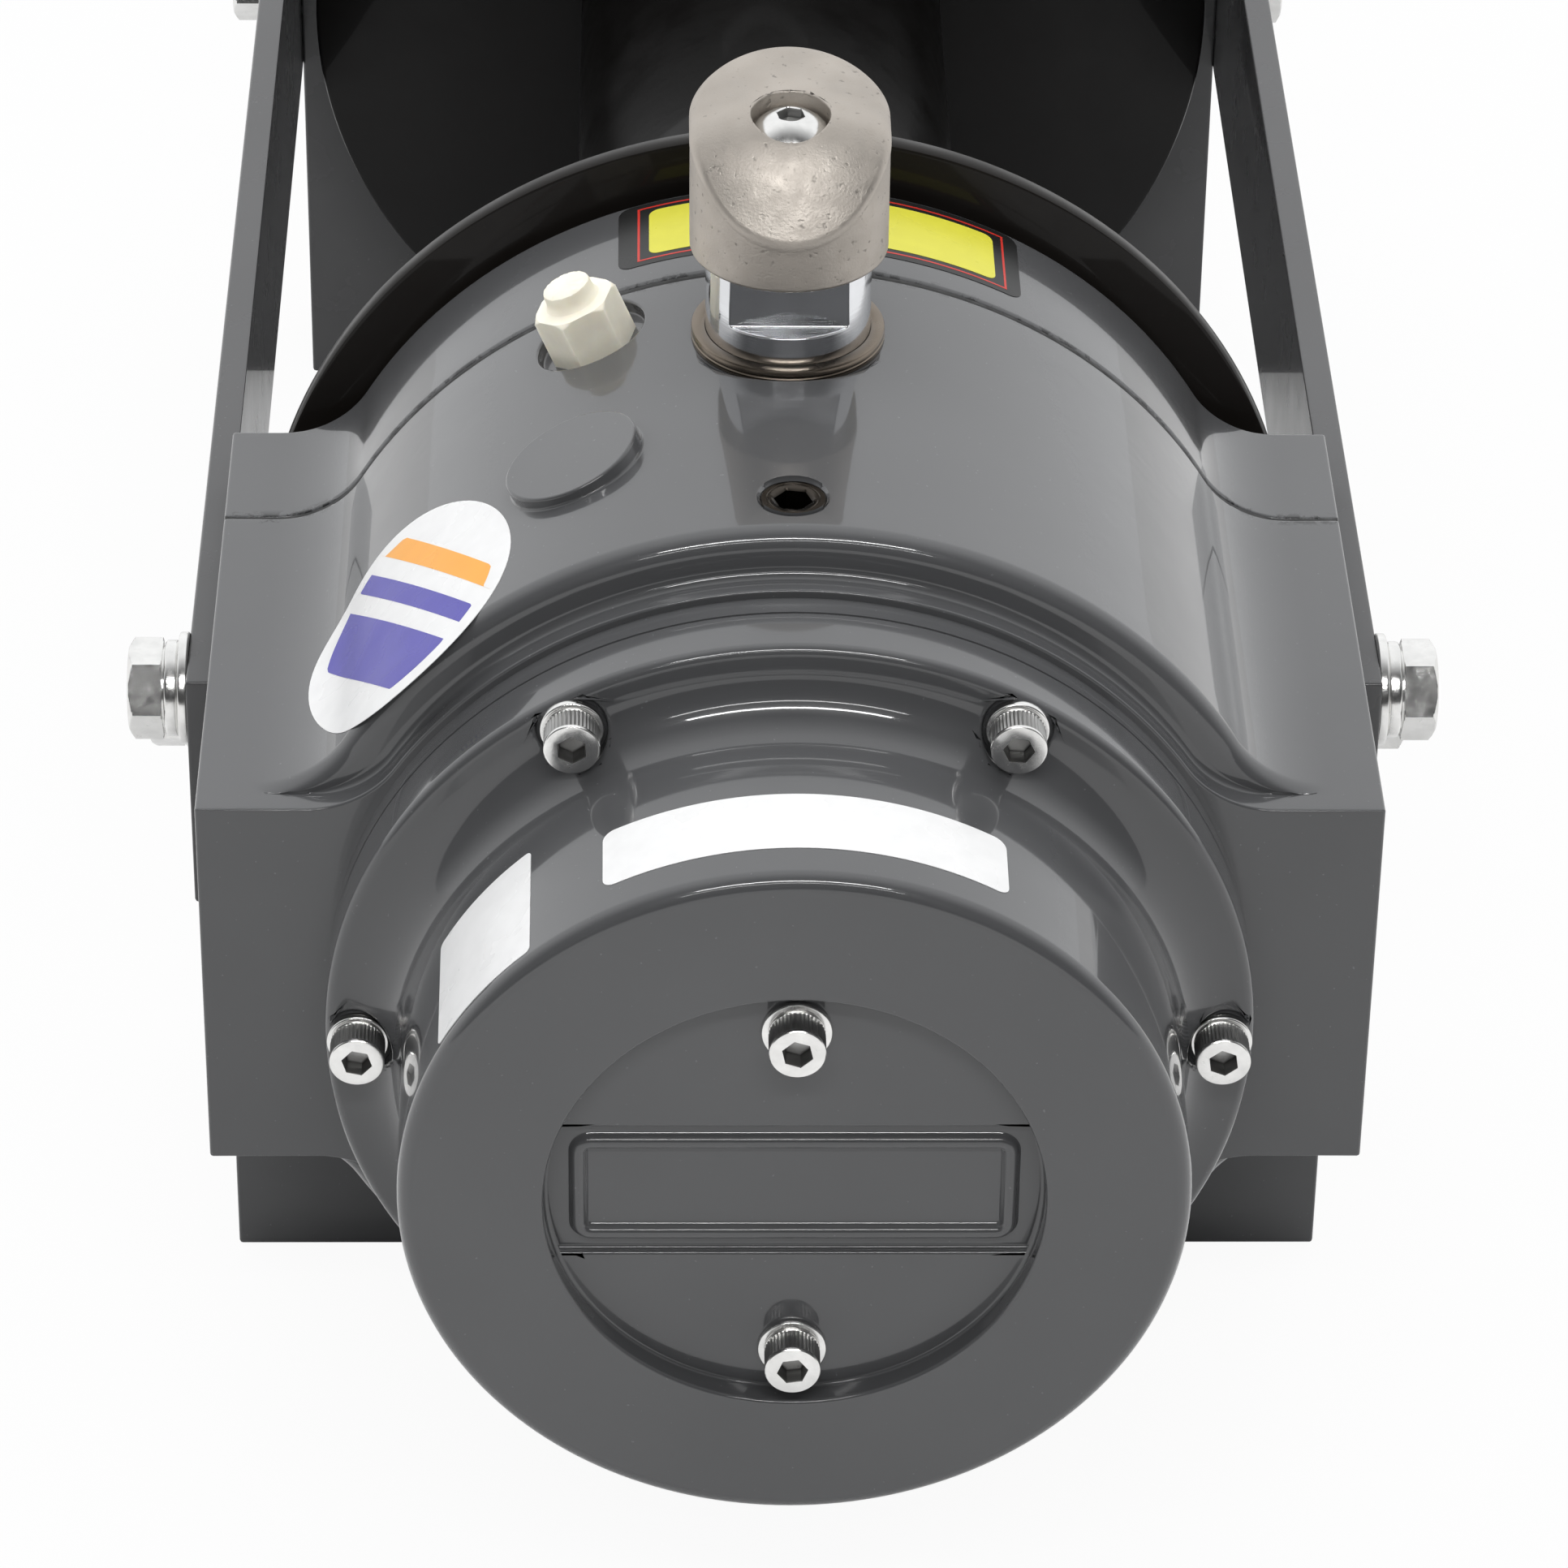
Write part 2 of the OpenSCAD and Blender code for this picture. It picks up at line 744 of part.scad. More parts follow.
module first_ring_gear() {
    color(gear_steel) difference() {
        union() {
            rod(flange_r, -ring_flange_t, 0);
            rod(cover_bore_r - seat_gap, first_ring_teeth_y, -ring_flange_t + cut / 2);
            rod(housing_bore_r - fit_gap, -cut / 2, ring_spigot_len);
        }
        ring_space(ring_teeth, first_module, first_ring_teeth_y - cut, ring_spigot_len + cut);
        rod(first_carrier_r + carrier_room, first_carrier_y - carrier_t - side_gap / 2,
            ring_spigot_len + cut);
        cover_screw_places() rod(m8[0] / 2 + bolt_gap, -ring_flange_t - cut, ring_spigot_len + cut);
    }
}

module second_ring_gear() {
    color(gear_steel) difference() {
        rod(second_ring_r, second_ring_y, second_ring_end);
        ring_space(ring_teeth, second_module, second_ring_y - cut, second_ring_end + cut);
        round_axis(notch_count)
            translate([second_ring_r - notch_depth, clutch_y - notch_len / 2, -notch_w / 2])
            cube([notch_depth + cut, notch_len, notch_w]);
    }
}

// Carriers, planets and suns

module planet_places(r) {
    for (i = [0:2]) rotate([0, -120 * i, 0]) translate([r, 0, 0]) children();
}

module first_carrier() {
    color(steel) difference() {
        rod(first_carrier_r, first_carrier_y - carrier_t, first_carrier_y);
        rod(sun_shaft_r + fit_gap, first_carrier_y - carrier_t - cut, first_carrier_y + cut);
        planet_places(first_pitch_r)
            rod(first_pin_r + fit_gap, first_carrier_y - carrier_t - cut, first_carrier_y + cut);
    }
}

module first_planet_pins() {
    color(steel) planet_places(first_pitch_r) rod(first_pin_r, first_planet_y - pin_end_len, first_carrier_y);
}

module second_carrier() {
    color(steel) difference() {
        union() {
            rod(second_carrier_r, second_carrier_y, second_carrier_y + carrier_t);
            rod(second_carrier_r, second_carrier_end - carrier_t, second_carrier_end);
            for (i = [0:2]) rotate([0, -60 - 120 * i, 0])
                translate([second_carrier_r * carrier_web_share, second_carrier_y + carrier_t / 2,
                           -carrier_web_w / 2])
                cube([second_carrier_r * (1 - carrier_web_share) - 2 * cut,
                      second_carrier_end - second_carrier_y - carrier_t, carrier_web_w]);
            splines(second_carrier_end - cut, second_carrier_end + spline_len, 0);
        }
        rod(second_module * (sun_teeth / 2 + addendum_share) + side_gap, second_carrier_y - cut,
            second_carrier_y + carrier_t + cut);
        rod(shaft_r + shaft_run_gap, second_carrier_y, second_carrier_end + spline_len + cut);
        planet_places(second_pitch_r)
            rod(second_pin_r + fit_gap, second_carrier_y - cut, second_carrier_end + cut);
    }
}

module splines(from, to, gap) {
    rod(spline_r + gap, from, to);
    for (i = [0:spline_count - 1]) rotate([0, -360 * i / spline_count, 0])
        translate([0, from, -spline_w / 2 - gap]) cube([spline_tip_r + gap, to - from, spline_w + 2 * gap]);
}

module second_planet_pins() {
    color(steel) planet_places(second_pitch_r) rod(second_pin_r, second_carrier_y, second_carrier_end);
}

module planet(i, m, pitch, pin_r, from, w) {
    phi = 120 * i;
    color(gear_steel) translate([pitch * cos(phi), 0, pitch * sin(phi)]) difference() {
        spur_gear(planet_teeth, m, from, from + w, planet_turn(phi, sun_teeth, planet_teeth));
        rod(pin_r + fit_gap, from - cut, from + w + cut);
    }
}

module first_planet(i) {
    planet(i, first_module, first_pitch_r, first_pin_r, first_planet_y, first_gear_w);
}

module second_planet(i) {
    planet(i, second_module, second_pitch_r, second_pin_r, second_planet_y, second_gear_w);
}

module second_sun() {
    color(gear_steel) difference() {
        union() {
            spur_gear(sun_teeth, second_module, second_planet_y, second_planet_y + second_gear_w, 0);
            rod(sun_shaft_r, first_carrier_y - carrier_t, second_planet_y + cut);
        }
        rod(shaft_r + shaft_run_gap, first_carrier_y - carrier_t - cut,
            second_planet_y + second_gear_w + cut);
    }
}

module first_sun() {
    color(gear_steel) difference() {
        spur_gear(sun_teeth, first_module, first_planet_y, first_planet_y + first_gear_w, 0);
        rod(shaft_r + fit_gap, first_planet_y - cut, first_planet_y + first_gear_w + cut);
    }
}

// Drive shaft and coupling

coupling_y = motor_front_y - coupling_len - coupling_clear;
shaft_end = coupling_y + coupling_len / 2 - side_gap;

module drive_shaft() {
    color(steel) {
        rod(shaft_r, thrust_y + side_gap, shaft_end);
        rod(first_pin_r, cover_inner_y + thrust_floor + side_gap, thrust_y + cut);
    }
}

module shaft_coupling() {
    color(steel) difference() {
        rod(coupling_r, coupling_y, coupling_y + coupling_len);
        rod(shaft_r + fit_gap, coupling_y - cut, coupling_y + coupling_len + cut);
    }
}

// Drum

module drum_barrel() {
    barrel_bore_r = barrel_r - barrel_wall;
    color(black_paint) difference() {
        turned([
            [drum_shaft_bore_r, hub_start], [journal_r, hub_start], [journal_r, barrel_start],
            [barrel_r, barrel_start], [barrel_r, barrel_end], [journal_r, barrel_end],
            [journal_r, far_journal_end], [drum_shaft_bore_r, far_journal_end],
            [drum_shaft_bore_r, far_flange_y - drum_web_t], [barrel_bore_r, far_flange_y - drum_web_t],
            [barrel_bore_r, drum_flange_y + drum_web_t], [drum_shaft_bore_r, drum_flange_y + drum_web_t]
        ]);
        splines(hub_start - cut, second_carrier_end + spline_len + hub_end_gap, fit_gap);
        translate([0, rope_hole_y, 0]) rotate([180, 0, 0]) cylinder(r = rope_hole_r, h = barrel_r + cut);
    }
}

module drum_flange(from) {
    edge = drum_flange_t / 4;
    color(black_paint) turned([
        [barrel_r + fit_gap, from], [drum_flange_r - edge, from], [drum_flange_r, from + edge],
        [drum_flange_r, from + drum_flange_t - edge], [drum_flange_r - edge, from + drum_flange_t],
        [barrel_r + fit_gap, from + drum_flange_t]
    ]);
}

module drum_bushes() {
    spans = [[hub_start, housing_end - seal_t], [support_boss_y + seal_t, far_journal_end]];
    color(bronze) for (span = spans) {
        difference() {
            rod(bush_r, span[0], span[1]);
            rod(journal_r + fit_gap, span[0] - cut, span[1] + cut);
        }
    }
}

module drum_seals() {
    color(rubber_black) for (from = [housing_end - seal_t, support_boss_y]) {
        difference() {
            rod(seal_r, from, from + seal_t);
            rod(journal_r + seat_gap, from - cut, from + seal_t + cut);
        }
    }
}

// Foot, rails and rail bolts

module foot_screw_places() {
    for (sx = [-1, 1], y = [foot_y + foot_screw_inset, housing_end - foot_screw_inset]) {
        translate([sx * foot_screw_x, y, -axis_h]) children();
    }
}

module foot_screw_holes() {
    foot_screw_places()
        cylinder(d = m12[0] + 2 * thread_gap, h = foot_h + foot_screw_reach + hole_end_gap);
}

module housing_foot() {
    color(dark_paint) difference() {
        translate([-block_w / 2, foot_y, -axis_h]) cube([block_w, foot_len, foot_h]);
        housing_outline(body_r + seat_gap, foot_y - cut, housing_end + cut);
        foot_screw_places() {
            translate([0, 0, -cut]) cylinder(d = m12[0] + bolt_gap, h = axis_h);
            translate([0, 0, -cut]) cylinder(d = m12[1] + 2 * bolt_gap, h = m12[2] + head_sink + cut);
        }
        mount_holes(housing_end - foot_len / 2);
    }
}

module mount_holes(y) {
    for (sx = [-1, 1]) translate([sx * mount_x, y, -axis_h - cut])
        cylinder(r = mount_hole_r, h = mount_hole_depth + cut);
}

module foot_screws() {
    color(zinc) foot_screw_places() translate([0, 0, m12[2] + head_sink])
        socket_screw(m12, foot_h + foot_screw_reach - m12[2] - head_sink);
}

module rail(side) {
    color(paint) difference() {
        translate([side > 0 ? block_w / 2 : -block_w / 2 - rail_t, rail_front, rail_mid_z - rail_h / 2])
            cube([rail_t, rail_end - rail_front, rail_h]);
        rail_bolt_places() translate([0, 0, -cut]) cylinder(r = rail_bolt_r + bolt_gap, h = rail_t + 2 * cut);
    }
}

// Runs its children at each rail bolt, with +Z pointing out of the ear and z = 0 on the ear
module rail_bolt_places() {
    for (side = [0, 1], place = rail_bolt_places) {
        mirror([side, 0, 0]) translate([block_w / 2, place[0], place[1]]) rotate([0, 90, 0]) children();
    }
}

module rail_bolt_holes() {
    rail_bolt_places() translate([0, 0, -rail_bolt_reach - hole_end_gap])
        cylinder(r = rail_bolt_r + thread_gap, h = rail_bolt_reach + hole_end_gap + cut);
}

module rail_bolts() {
    head_z = rail_t + flat_washer_t + spring_washer_t;
    color(zinc) rail_bolt_places() {
        translate([0, 0, -rail_bolt_reach]) cylinder(r = rail_bolt_r, h = rail_bolt_reach + head_z + cut);
        translate([0, 0, head_z]) rotate(30) hexagon(hex_flats, hex_h);
    }
}

module rail_spring_washers() {
    color(zinc) rail_bolt_places() translate([0, 0, rail_t + flat_washer_t])
        split_washer(spring_washer_r, rail_bolt_r + fit_gap, spring_washer_t);
}

module rail_flat_washers() {
    color(zinc) rail_bolt_places() translate([0, 0, rail_t])
        ring(flat_washer_r, rail_bolt_r + fit_gap, flat_washer_t);
}

// Plugs

module level_plug() {
    top_z = body_r - level_plug_sink;
    color(rubber_black) radial(0, level_plug_y) translate([0, 0, top_z - level_plug_len]) difference() {
        cylinder(r = level_plug_r, h = level_plug_len);
        translate([0, 0, level_plug_len - level_socket_depth])
            hexagon(level_socket_flats, level_socket_depth + cut);
    }
}

module breather_plug() {
    color([0.86, 0.84, 0.78]) radial(breather_angle, breather_y) translate([0, 0, body_r - breather_sink]) {
        rotate([0, 0, breather_turn]) hexagon(breather_flats, breather_hex_h);
        translate([0, 0, breather_hex_h - cut]) cylinder(r = breather_stub_r, h = breather_stub_h + cut);
        translate([0, 0, -breather_shank_len]) cylinder(r = breather_shank_r, h = breather_shank_len + cut);
    }
}

// Clutch

module clutch_bush() {
    color([0.42, 0.36, 0.3]) translate([0, clutch_y, bush_seat_z]) difference() {
        union() {
            cylinder(r = bush_flange_r, h = bush_flange_t);
            translate([0, 0, -bush_sleeve_len]) cylinder(r = bush_sleeve_r, h = bush_sleeve_len + cut);
        }
        translate([0, 0, -bush_sleeve_len - cut])
            cylinder(r = clutch_shaft_r + fit_gap, h = bush_sleeve_len + bush_flange_t + 2 * cut);
    }
}

module clutch_dog() {
    color(steel) translate([0, clutch_y, 0]) {
        translate([-dog_w / 2, -dog_len / 2, dog_z - dog_depth]) cube([dog_w, dog_len, dog_depth + cut]);
        translate([0, 0, dog_z]) cylinder(r = clutch_shaft_r, h = dog_guide_top - dog_z);
        translate([0, 0, dog_z]) cylinder(r = dog_neck_r, h = dog_guide_top - dog_z + dog_neck_len);
    }
}

module clutch_flats(gap, from, to) {
    intersection() {
        translate([0, 0, from]) cylinder(r = clutch_shaft_r + gap, h = to - from);
        translate([-2 * clutch_shaft_r, -clutch_flat / 2 - gap, from])
            cube([4 * clutch_shaft_r, clutch_flat + 2 * gap, to - from]);
    }
}

module clutch_shaft() {
    start = dog_guide_top + seat_gap;
    collar_top = bush_seat_z + bush_flange_t + clutch_collar_h;
    color([0.8, 0.82, 0.84]) translate([0, clutch_y, 0]) difference() {
        union() {
            translate([0, 0, start]) cylinder(r = clutch_shaft_r, h = collar_top - start);
            clutch_flats(0, collar_top - cut, knob_z + knob_socket_depth);
        }
        translate([0, 0, start - cut]) cylinder(r = dog_neck_r + fit_gap, h = dog_neck_len + cut);
        translate([0, 0, knob_z + knob_socket_depth - clutch_tap_depth])
            cylinder(d = button_m10[0] + 2 * thread_gap, h = clutch_tap_depth + cut);
    }
}

// A long cylinder along Y whose highest line passes through the origin
module knob_crown() {
    translate([0, -knob_cut_len, -knob_crown_r]) rotate([-90, 0, 0])
        cylinder(r = knob_crown_r, h = 2 * knob_cut_len);
}

module clutch_knob() {
    color([0.62, 0.6, 0.58]) translate([0, clutch_y, knob_z]) difference() {
        intersection() {
            union() {
                for (y = [0, knob_reach]) translate([0, y, 0]) cylinder(r = knob_r, h = knob_h + cut);
                translate([-knob_r, 0, 0]) cube([2 * knob_r, knob_reach, knob_h + cut]);
            }
            translate([0, 0, knob_h]) knob_crown();
            translate([0, -knob_r, knob_front_h]) rotate([knob_slope, 0, 0]) knob_crown();
        }
        translate([0, 0, -cut]) clutch_flats(fit_gap, 0, knob_socket_depth + cut + fit_gap);
        cylinder(d = button_m10[0] + bolt_gap, h = knob_h);
        translate([0, 0, clutch_screw_seat_h]) cylinder(r = knob_counterbore_r, h = knob_h);
    }
}

module clutch_screw() {
    seat = knob_z + clutch_screw_seat_h;
    color(zinc) translate([0, clutch_y, seat]) rotate([180, 0, 0])
        button_screw(button_m10, clutch_screw_seat_h - knob_socket_depth + clutch_tap_depth - hole_end_gap);
}

// Motor support

module motor_support() {
    color(dark_paint) difference() {
        union() {
            translate([-block_w / 2, support_y, -axis_h]) cube([block_w, support_t, axis_h + ear_h / 2]);
            rod(support_round_r, support_y, support_end);
            rod(support_boss_r, support_boss_y, support_y + cut);
        }
        rod(bush_r + fit_gap, support_boss_y - cut, far_journal_end + side_gap);
        rod(seal_r + fit_gap, support_boss_y - cut, support_boss_y + seal_t);
        rod(coupling_r + coupling_room, support_boss_y, support_end + cut);
        rail_bolt_holes();
        mount_holes((support_y + support_end) / 2);
        motor_mount_places()
            rod(m12[0] / 2 + thread_gap, support_end - motor_mount_reach - hole_end_gap, support_end + cut);
        for (sx = [0, 1]) mirror([sx, 0, 0])
            translate([block_w / 2 - pocket_w - pocket_gap, support_end - support_pocket_t,
                       pocket_low - axis_h])
            cube([pocket_w, support_pocket_t + cut, pocket_h]);
    }
}

// Hydraulic motor

module motor_mount_places() {
    for (sx = [-1, 1], sz = [-1, 1]) {
        translate([sx * (motor_flange_w / 2 - motor_flange_inset), 0,
                   -gear_centre / 2 + sz * (motor_flange_h / 2 - motor_flange_inset)]) children();
    }
}

module motor_bolt_places() {
    for (sx = [-1, 1], z = [motor_top_z - motor_bolt_inset, motor_low_z + motor_bolt_inset]) {
        translate([sx * (motor_w / 2 - motor_bolt_inset), 0, z]) children();
    }
}

module motor_outline(from, to) {
    round_slab(motor_w, motor_top_z - motor_low_z, from, to, motor_round_r, (motor_top_z + motor_low_z) / 2);
}

module gear_axes() {
    for (z = [0, -gear_centre]) translate([0, 0, z]) children();
}

module motor_front_cover() {
    color(motor_iron) difference() {
        union() {
            motor_outline(motor_front_y, motor_body_y);
            round_slab(motor_flange_w, motor_flange_h, motor_front_y, motor_body_y, motor_round_r,
                       -gear_centre / 2);
        }
        rod(shaft_r + side_gap, motor_front_y - cut, motor_body_y + cut);
        rod(shaft_seal_r + fit_gap, motor_front_y - cut, motor_front_y + shaft_seal_t);
        motor_mount_places() rod(m12[0] / 2 + bolt_gap, motor_front_y - cut, motor_body_y + cut);
        motor_bolt_places()
            rod(m10[0] / 2 + thread_gap, motor_body_y - motor_bolt_reach - hole_end_gap, motor_body_y + cut);
    }
}

module motor_body() {
    color(motor_iron) difference() {
        motor_outline(motor_body_y, motor_rear_y);
        gear_axes() rod(motor_chamber_r, motor_body_y - cut, motor_rear_y + cut);
        motor_bolt_places() rod(m10[0] / 2 + bolt_gap, motor_body_y - cut, motor_rear_y + cut);
        for (sx = [-1, 1]) translate([sx * valve_port_x, motor_body_y + motor_len / 2, -gear_centre / 2])
            cylinder(r = valve_passage_r, h = axis_h);
        valve_screw_places() translate([0, 0, motor_top_z - valve_screw_reach - hole_end_gap])
            cylinder(d = m8[0] + 2 * thread_gap, h = axis_h);
    }
}

module motor_rear_cover() {
    color(motor_iron) difference() {
        motor_outline(motor_rear_y, motor_end);
        motor_bolt_places() rod(m10[0] / 2 + bolt_gap, motor_rear_y - cut, motor_end + cut);
    }
}

module motor_bearing_blocks() {
    color(bronze) for (from = [motor_body_y, motor_rear_y - block_len]) {
        difference() {
            gear_axes() rod(motor_chamber_r - fit_gap, from, from + block_len);
            gear_axes() rod(motor_shaft_r + fit_gap, from - cut, from + block_len + cut);
        }
    }
}

module motor_shaft_seal() {
    color(rubber_black) difference() {
        rod(shaft_seal_r, motor_front_y, motor_front_y + shaft_seal_t - fit_gap);
        rod(shaft_r + seat_gap, motor_front_y - cut, motor_front_y + shaft_seal_t);
    }
}

module motor_through_bolts() {
    color(zinc) motor_bolt_places() translate([0, motor_end, 0]) rotate([90, 0, 0])
        socket_screw(m10, motor_rear_t + motor_len + motor_bolt_reach);
}

module motor_mount_bolts() {
    color(zinc) motor_mount_places() translate([0, motor_body_y, 0]) rotate([90, 0, 0])
        socket_screw(m12, motor_front_t + motor_mount_reach);
}

gear_from = motor_body_y + block_len + fit_gap;
gear_to = motor_rear_y - block_len - fit_gap;

module motor_drive_gear() {
    color(gear_steel) {
        spur_gear(motor_teeth, motor_module, gear_from, gear_to, 0);
        rod(motor_shaft_r, motor_body_y + fit_gap, motor_rear_y - side_gap);
        rod(shaft_r, coupling_y + coupling_len / 2 + side_gap, motor_body_y - side_gap);
        rod(motor_shaft_r, motor_body_y - side_gap - cut, motor_body_y + cut);
    }
}

module motor_idler_gear() {
    color(gear_steel) translate([0, 0, -gear_centre]) {
        spur_gear(motor_teeth, motor_module, gear_from, gear_to, planet_turn(-90, motor_teeth, motor_teeth));
        rod(motor_shaft_r, motor_body_y + side_gap, motor_rear_y - side_gap);
    }
}

// Valve block on top of the motor

valve_y = motor_body_y + motor_len / 2;

module valve_screw_places() {
    for (sy = [-1, 1]) translate([0, valve_y + sy * (valve_len / 2 - valve_screw_inset), 0]) children();
}

module valve_block() {
    color(motor_iron) translate([0, 0, motor_top_z]) difference() {
        translate([-valve_w / 2, valve_y - valve_len / 2, 0]) cube([valve_w, valve_len, valve_h]);
        translate([0, 0, -cut]) valve_screw_places() cylinder(d = m8[0] + bolt_gap, h = valve_h + 2 * cut);
        for (sx = [-1, 1]) translate([sx * valve_port_x, valve_y, 0]) {
            translate([0, 0, -cut]) cylinder(r = valve_passage_r, h = valve_h);
            translate([0, 0, valve_h - port_depth]) cylinder(r = port_r, h = port_depth + cut);
        }
        for (sx = [0, 1]) mirror([sx, 0, 0])
            translate([valve_w / 2, valve_y, cartridge_z]) rotate([0, -90, 0])
            translate([0, 0, -cut]) cylinder(r = cartridge_r + thread_gap, h = cartridge_reach + cut);
    }
}

module valve_block_screws() {
    color(zinc) valve_screw_places() translate([0, 0, motor_top_z + valve_h]) rotate([180, 0, 0])
        socket_screw(m8, valve_h + valve_screw_reach);
}

module valve_cartridges() {
    color(zinc) for (sx = [0, 1]) mirror([sx, 0, 0])
        translate([valve_w / 2, valve_y, motor_top_z + cartridge_z]) rotate([0, 90, 0]) {
            hexagon(cartridge_flats, cartridge_h);
            translate([0, 0, -cartridge_reach + 2 * side_gap]) cylinder(r = cartridge_r, h = cartridge_reach);
        }
}

placed() gear_housing();
placed() drum_side_housing();
placed() housing_gasket();
placed() housing_screws();
placed() first_ring_gear();
placed() gear_cover();
placed() cover_screws();
placed() cover_spring_washers();
placed() front_screws();
placed() front_washers();
placed() thrust_plate();
placed() level_plug();
placed() breather_plug();
placed() clutch_bush();
placed() second_ring_gear();
placed() housing_foot();
placed() foot_screws();
placed() rail(-1);  // left_rail
placed() rail(1);  // right_rail
placed() rail_bolts();
placed() rail_spring_washers();
placed() rail_flat_washers();
placed() motor_support();
placed() drum_bushes();
placed() drum_seals();
placed() motor_front_cover();
placed() motor_body();
placed() motor_rear_cover();
placed() motor_bearing_blocks();
placed() motor_shaft_seal();
placed() motor_through_bolts();
placed() motor_mount_bolts();
placed() valve_block();
placed() valve_block_screws();
placed() valve_cartridges();
placed() drum_barrel();
placed() drum_flange(drum_flange_y);  // drum_flange_gear_end
placed() drum_flange(far_flange_y);  // drum_flange_motor_end
placed() second_carrier();
placed() second_planet_pins();
placed() second_planet(0);  // second_planet_1
placed() second_planet(1);  // second_planet_2
placed() second_planet(2);  // second_planet_3
placed() first_carrier();
placed() first_planet_pins();
placed() second_sun();
placed() first_planet(0);  // first_planet_1
placed() first_planet(1);  // first_planet_2
placed() first_planet(2);  // first_planet_3
placed() drive_shaft();
placed() first_sun();
placed() shaft_coupling();
placed() motor_drive_gear();
placed() motor_idler_gear();
placed() clutch_dog();
placed() clutch_shaft();
placed() clutch_knob();
placed() clutch_screw();
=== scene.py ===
"""Looks of a hydraulic winch: painted castings, fasteners, labels, finishes and the stage."""
import json
import math

import bmesh
import bpy
from bpy.props import FloatProperty, FloatVectorProperty, IntProperty, PointerProperty
from mathutils import Euler, Matrix, Vector

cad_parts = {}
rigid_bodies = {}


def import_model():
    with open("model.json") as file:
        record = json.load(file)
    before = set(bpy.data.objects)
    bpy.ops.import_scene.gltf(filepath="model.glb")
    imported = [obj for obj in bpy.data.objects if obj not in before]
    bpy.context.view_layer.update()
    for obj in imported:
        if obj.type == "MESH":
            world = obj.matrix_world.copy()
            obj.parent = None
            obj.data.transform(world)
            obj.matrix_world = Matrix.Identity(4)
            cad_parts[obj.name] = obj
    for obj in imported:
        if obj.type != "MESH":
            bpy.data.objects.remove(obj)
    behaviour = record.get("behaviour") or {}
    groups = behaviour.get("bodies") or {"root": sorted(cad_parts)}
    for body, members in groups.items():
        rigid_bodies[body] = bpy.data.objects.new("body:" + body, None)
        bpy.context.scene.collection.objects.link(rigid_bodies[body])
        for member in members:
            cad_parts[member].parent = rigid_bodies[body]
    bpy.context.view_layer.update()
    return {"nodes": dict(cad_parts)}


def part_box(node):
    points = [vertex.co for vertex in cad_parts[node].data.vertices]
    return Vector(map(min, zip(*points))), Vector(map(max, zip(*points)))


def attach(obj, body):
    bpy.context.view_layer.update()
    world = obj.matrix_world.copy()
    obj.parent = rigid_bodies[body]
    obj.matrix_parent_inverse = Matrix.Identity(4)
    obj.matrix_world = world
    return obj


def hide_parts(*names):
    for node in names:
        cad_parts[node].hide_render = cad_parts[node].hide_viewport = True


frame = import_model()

bl_info = {
    "name": "Hydraulic winch",
    "version": (1, 0, 0),
    "blender": (4, 5, 0),
    "location": "3D View > Sidebar > Winch",
    "description": "Dresses a hydraulic winch with painted castings, fasteners, labels and a stage",
    "category": "Object",
}

# The drum axis and the front face of the gear housing, from the housing's own box
HOUSING_LOW, HOUSING_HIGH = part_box("gear_housing")
FRONT = HOUSING_LOW[1]
AXIS = (HOUSING_LOW[2] + HOUSING_HIGH[2]) / 2
MM = 0.001
X, Y, Z = 0, 1, 2


def span(node, axis):
    """Low and high of a fixed CAD node along an axis, in millimetres about the drum axis."""
    origin = (0.0, FRONT, AXIS)[axis]
    return tuple(round((corner[axis] - origin) / MM, 2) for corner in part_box(node))


# Shape of the castings in millimetres about the drum axis
EAR_X = span("gear_housing", X)[1]
EAR_Z = 51.0
BODY_R = span("gear_housing", Z)[1]
LIP_R = 112.0
BLEND_R = 26.0
SEAM_Y = span("gear_housing", Y)[1]
REAR_START_Y, REAR_Y = span("drum_side_housing", Y)
FIRST_BORE_R = 92.0
RING_BORE_R = span("second_ring_gear", X)[1] + 0.3
RING_SEAT_Y = 76.0
BEARING_R = 52.05
SEAL_R = 58.05

# Shape of the gear cover in millimetres
COVER_R, COVER_REAR_R = 91.0, 91.5
COVER_FRONT_Y = span("gear_cover", Y)[0]
COVER_FACE_Y, BAND_Y = -80.0, -78.0
COVER_WALL_FRONT_Y, COVER_WALL_REAR_Y = -82.0, -35.0
RIM_Y = span("cover_spring_washers", Y)[1]
RIM_R = span("gear_cover", X)[1]
RECESS_R = 57.5
COVER_SCREW_CIRCLE, COVER_WELL_R = 102.0, 8.2

# Shape of the clutch knob in millimetres: its long plan, level crown and steep front
CLUTCH_Y, KNOB_Z, KNOB_SEAT = 101.0, 146.0, 30.5
KNOB_R, KNOB_REACH, KNOB_H, KNOB_FRONT_H = 24.0, 11.0, 36.5, 13.5
KNOB_SLOPE, KNOB_CROWN_R, KNOB_BLEND = 58.0, 60.0, 14.0

# Places of the plugs and of a plain boss: lean to the side in degrees, and distance from the front
LEVEL_PLUG = (0, 23.5)
BREATHER = (-23, 115)
PLAIN_BOSS = (-24.5, 56)

# Drum flanges in millimetres
FLANGE_R, FLANGE_T = 134.0, 6.0
FLANGE_NEAR_Y, FLANGE_FAR_Y = 178.0, 500.0
BARREL_R = 54.05

# Roundings of single pieces in metres
COVER_EDGE = 0.0009
KNOB_EDGE = 0.0006
SHAFT_EDGE = 0.0004
BARREL_EDGE = 0.0006
IRON_EDGE = 0.0008
CARTRIDGE_EDGE = 0.0005

# Socket heads in millimetres: radius and height of the head, and width of the socket
M8_HEAD = (6.5, 8, 6)
M10_HEAD = (8, 10, 8)
M12_HEAD = (9, 12, 10)

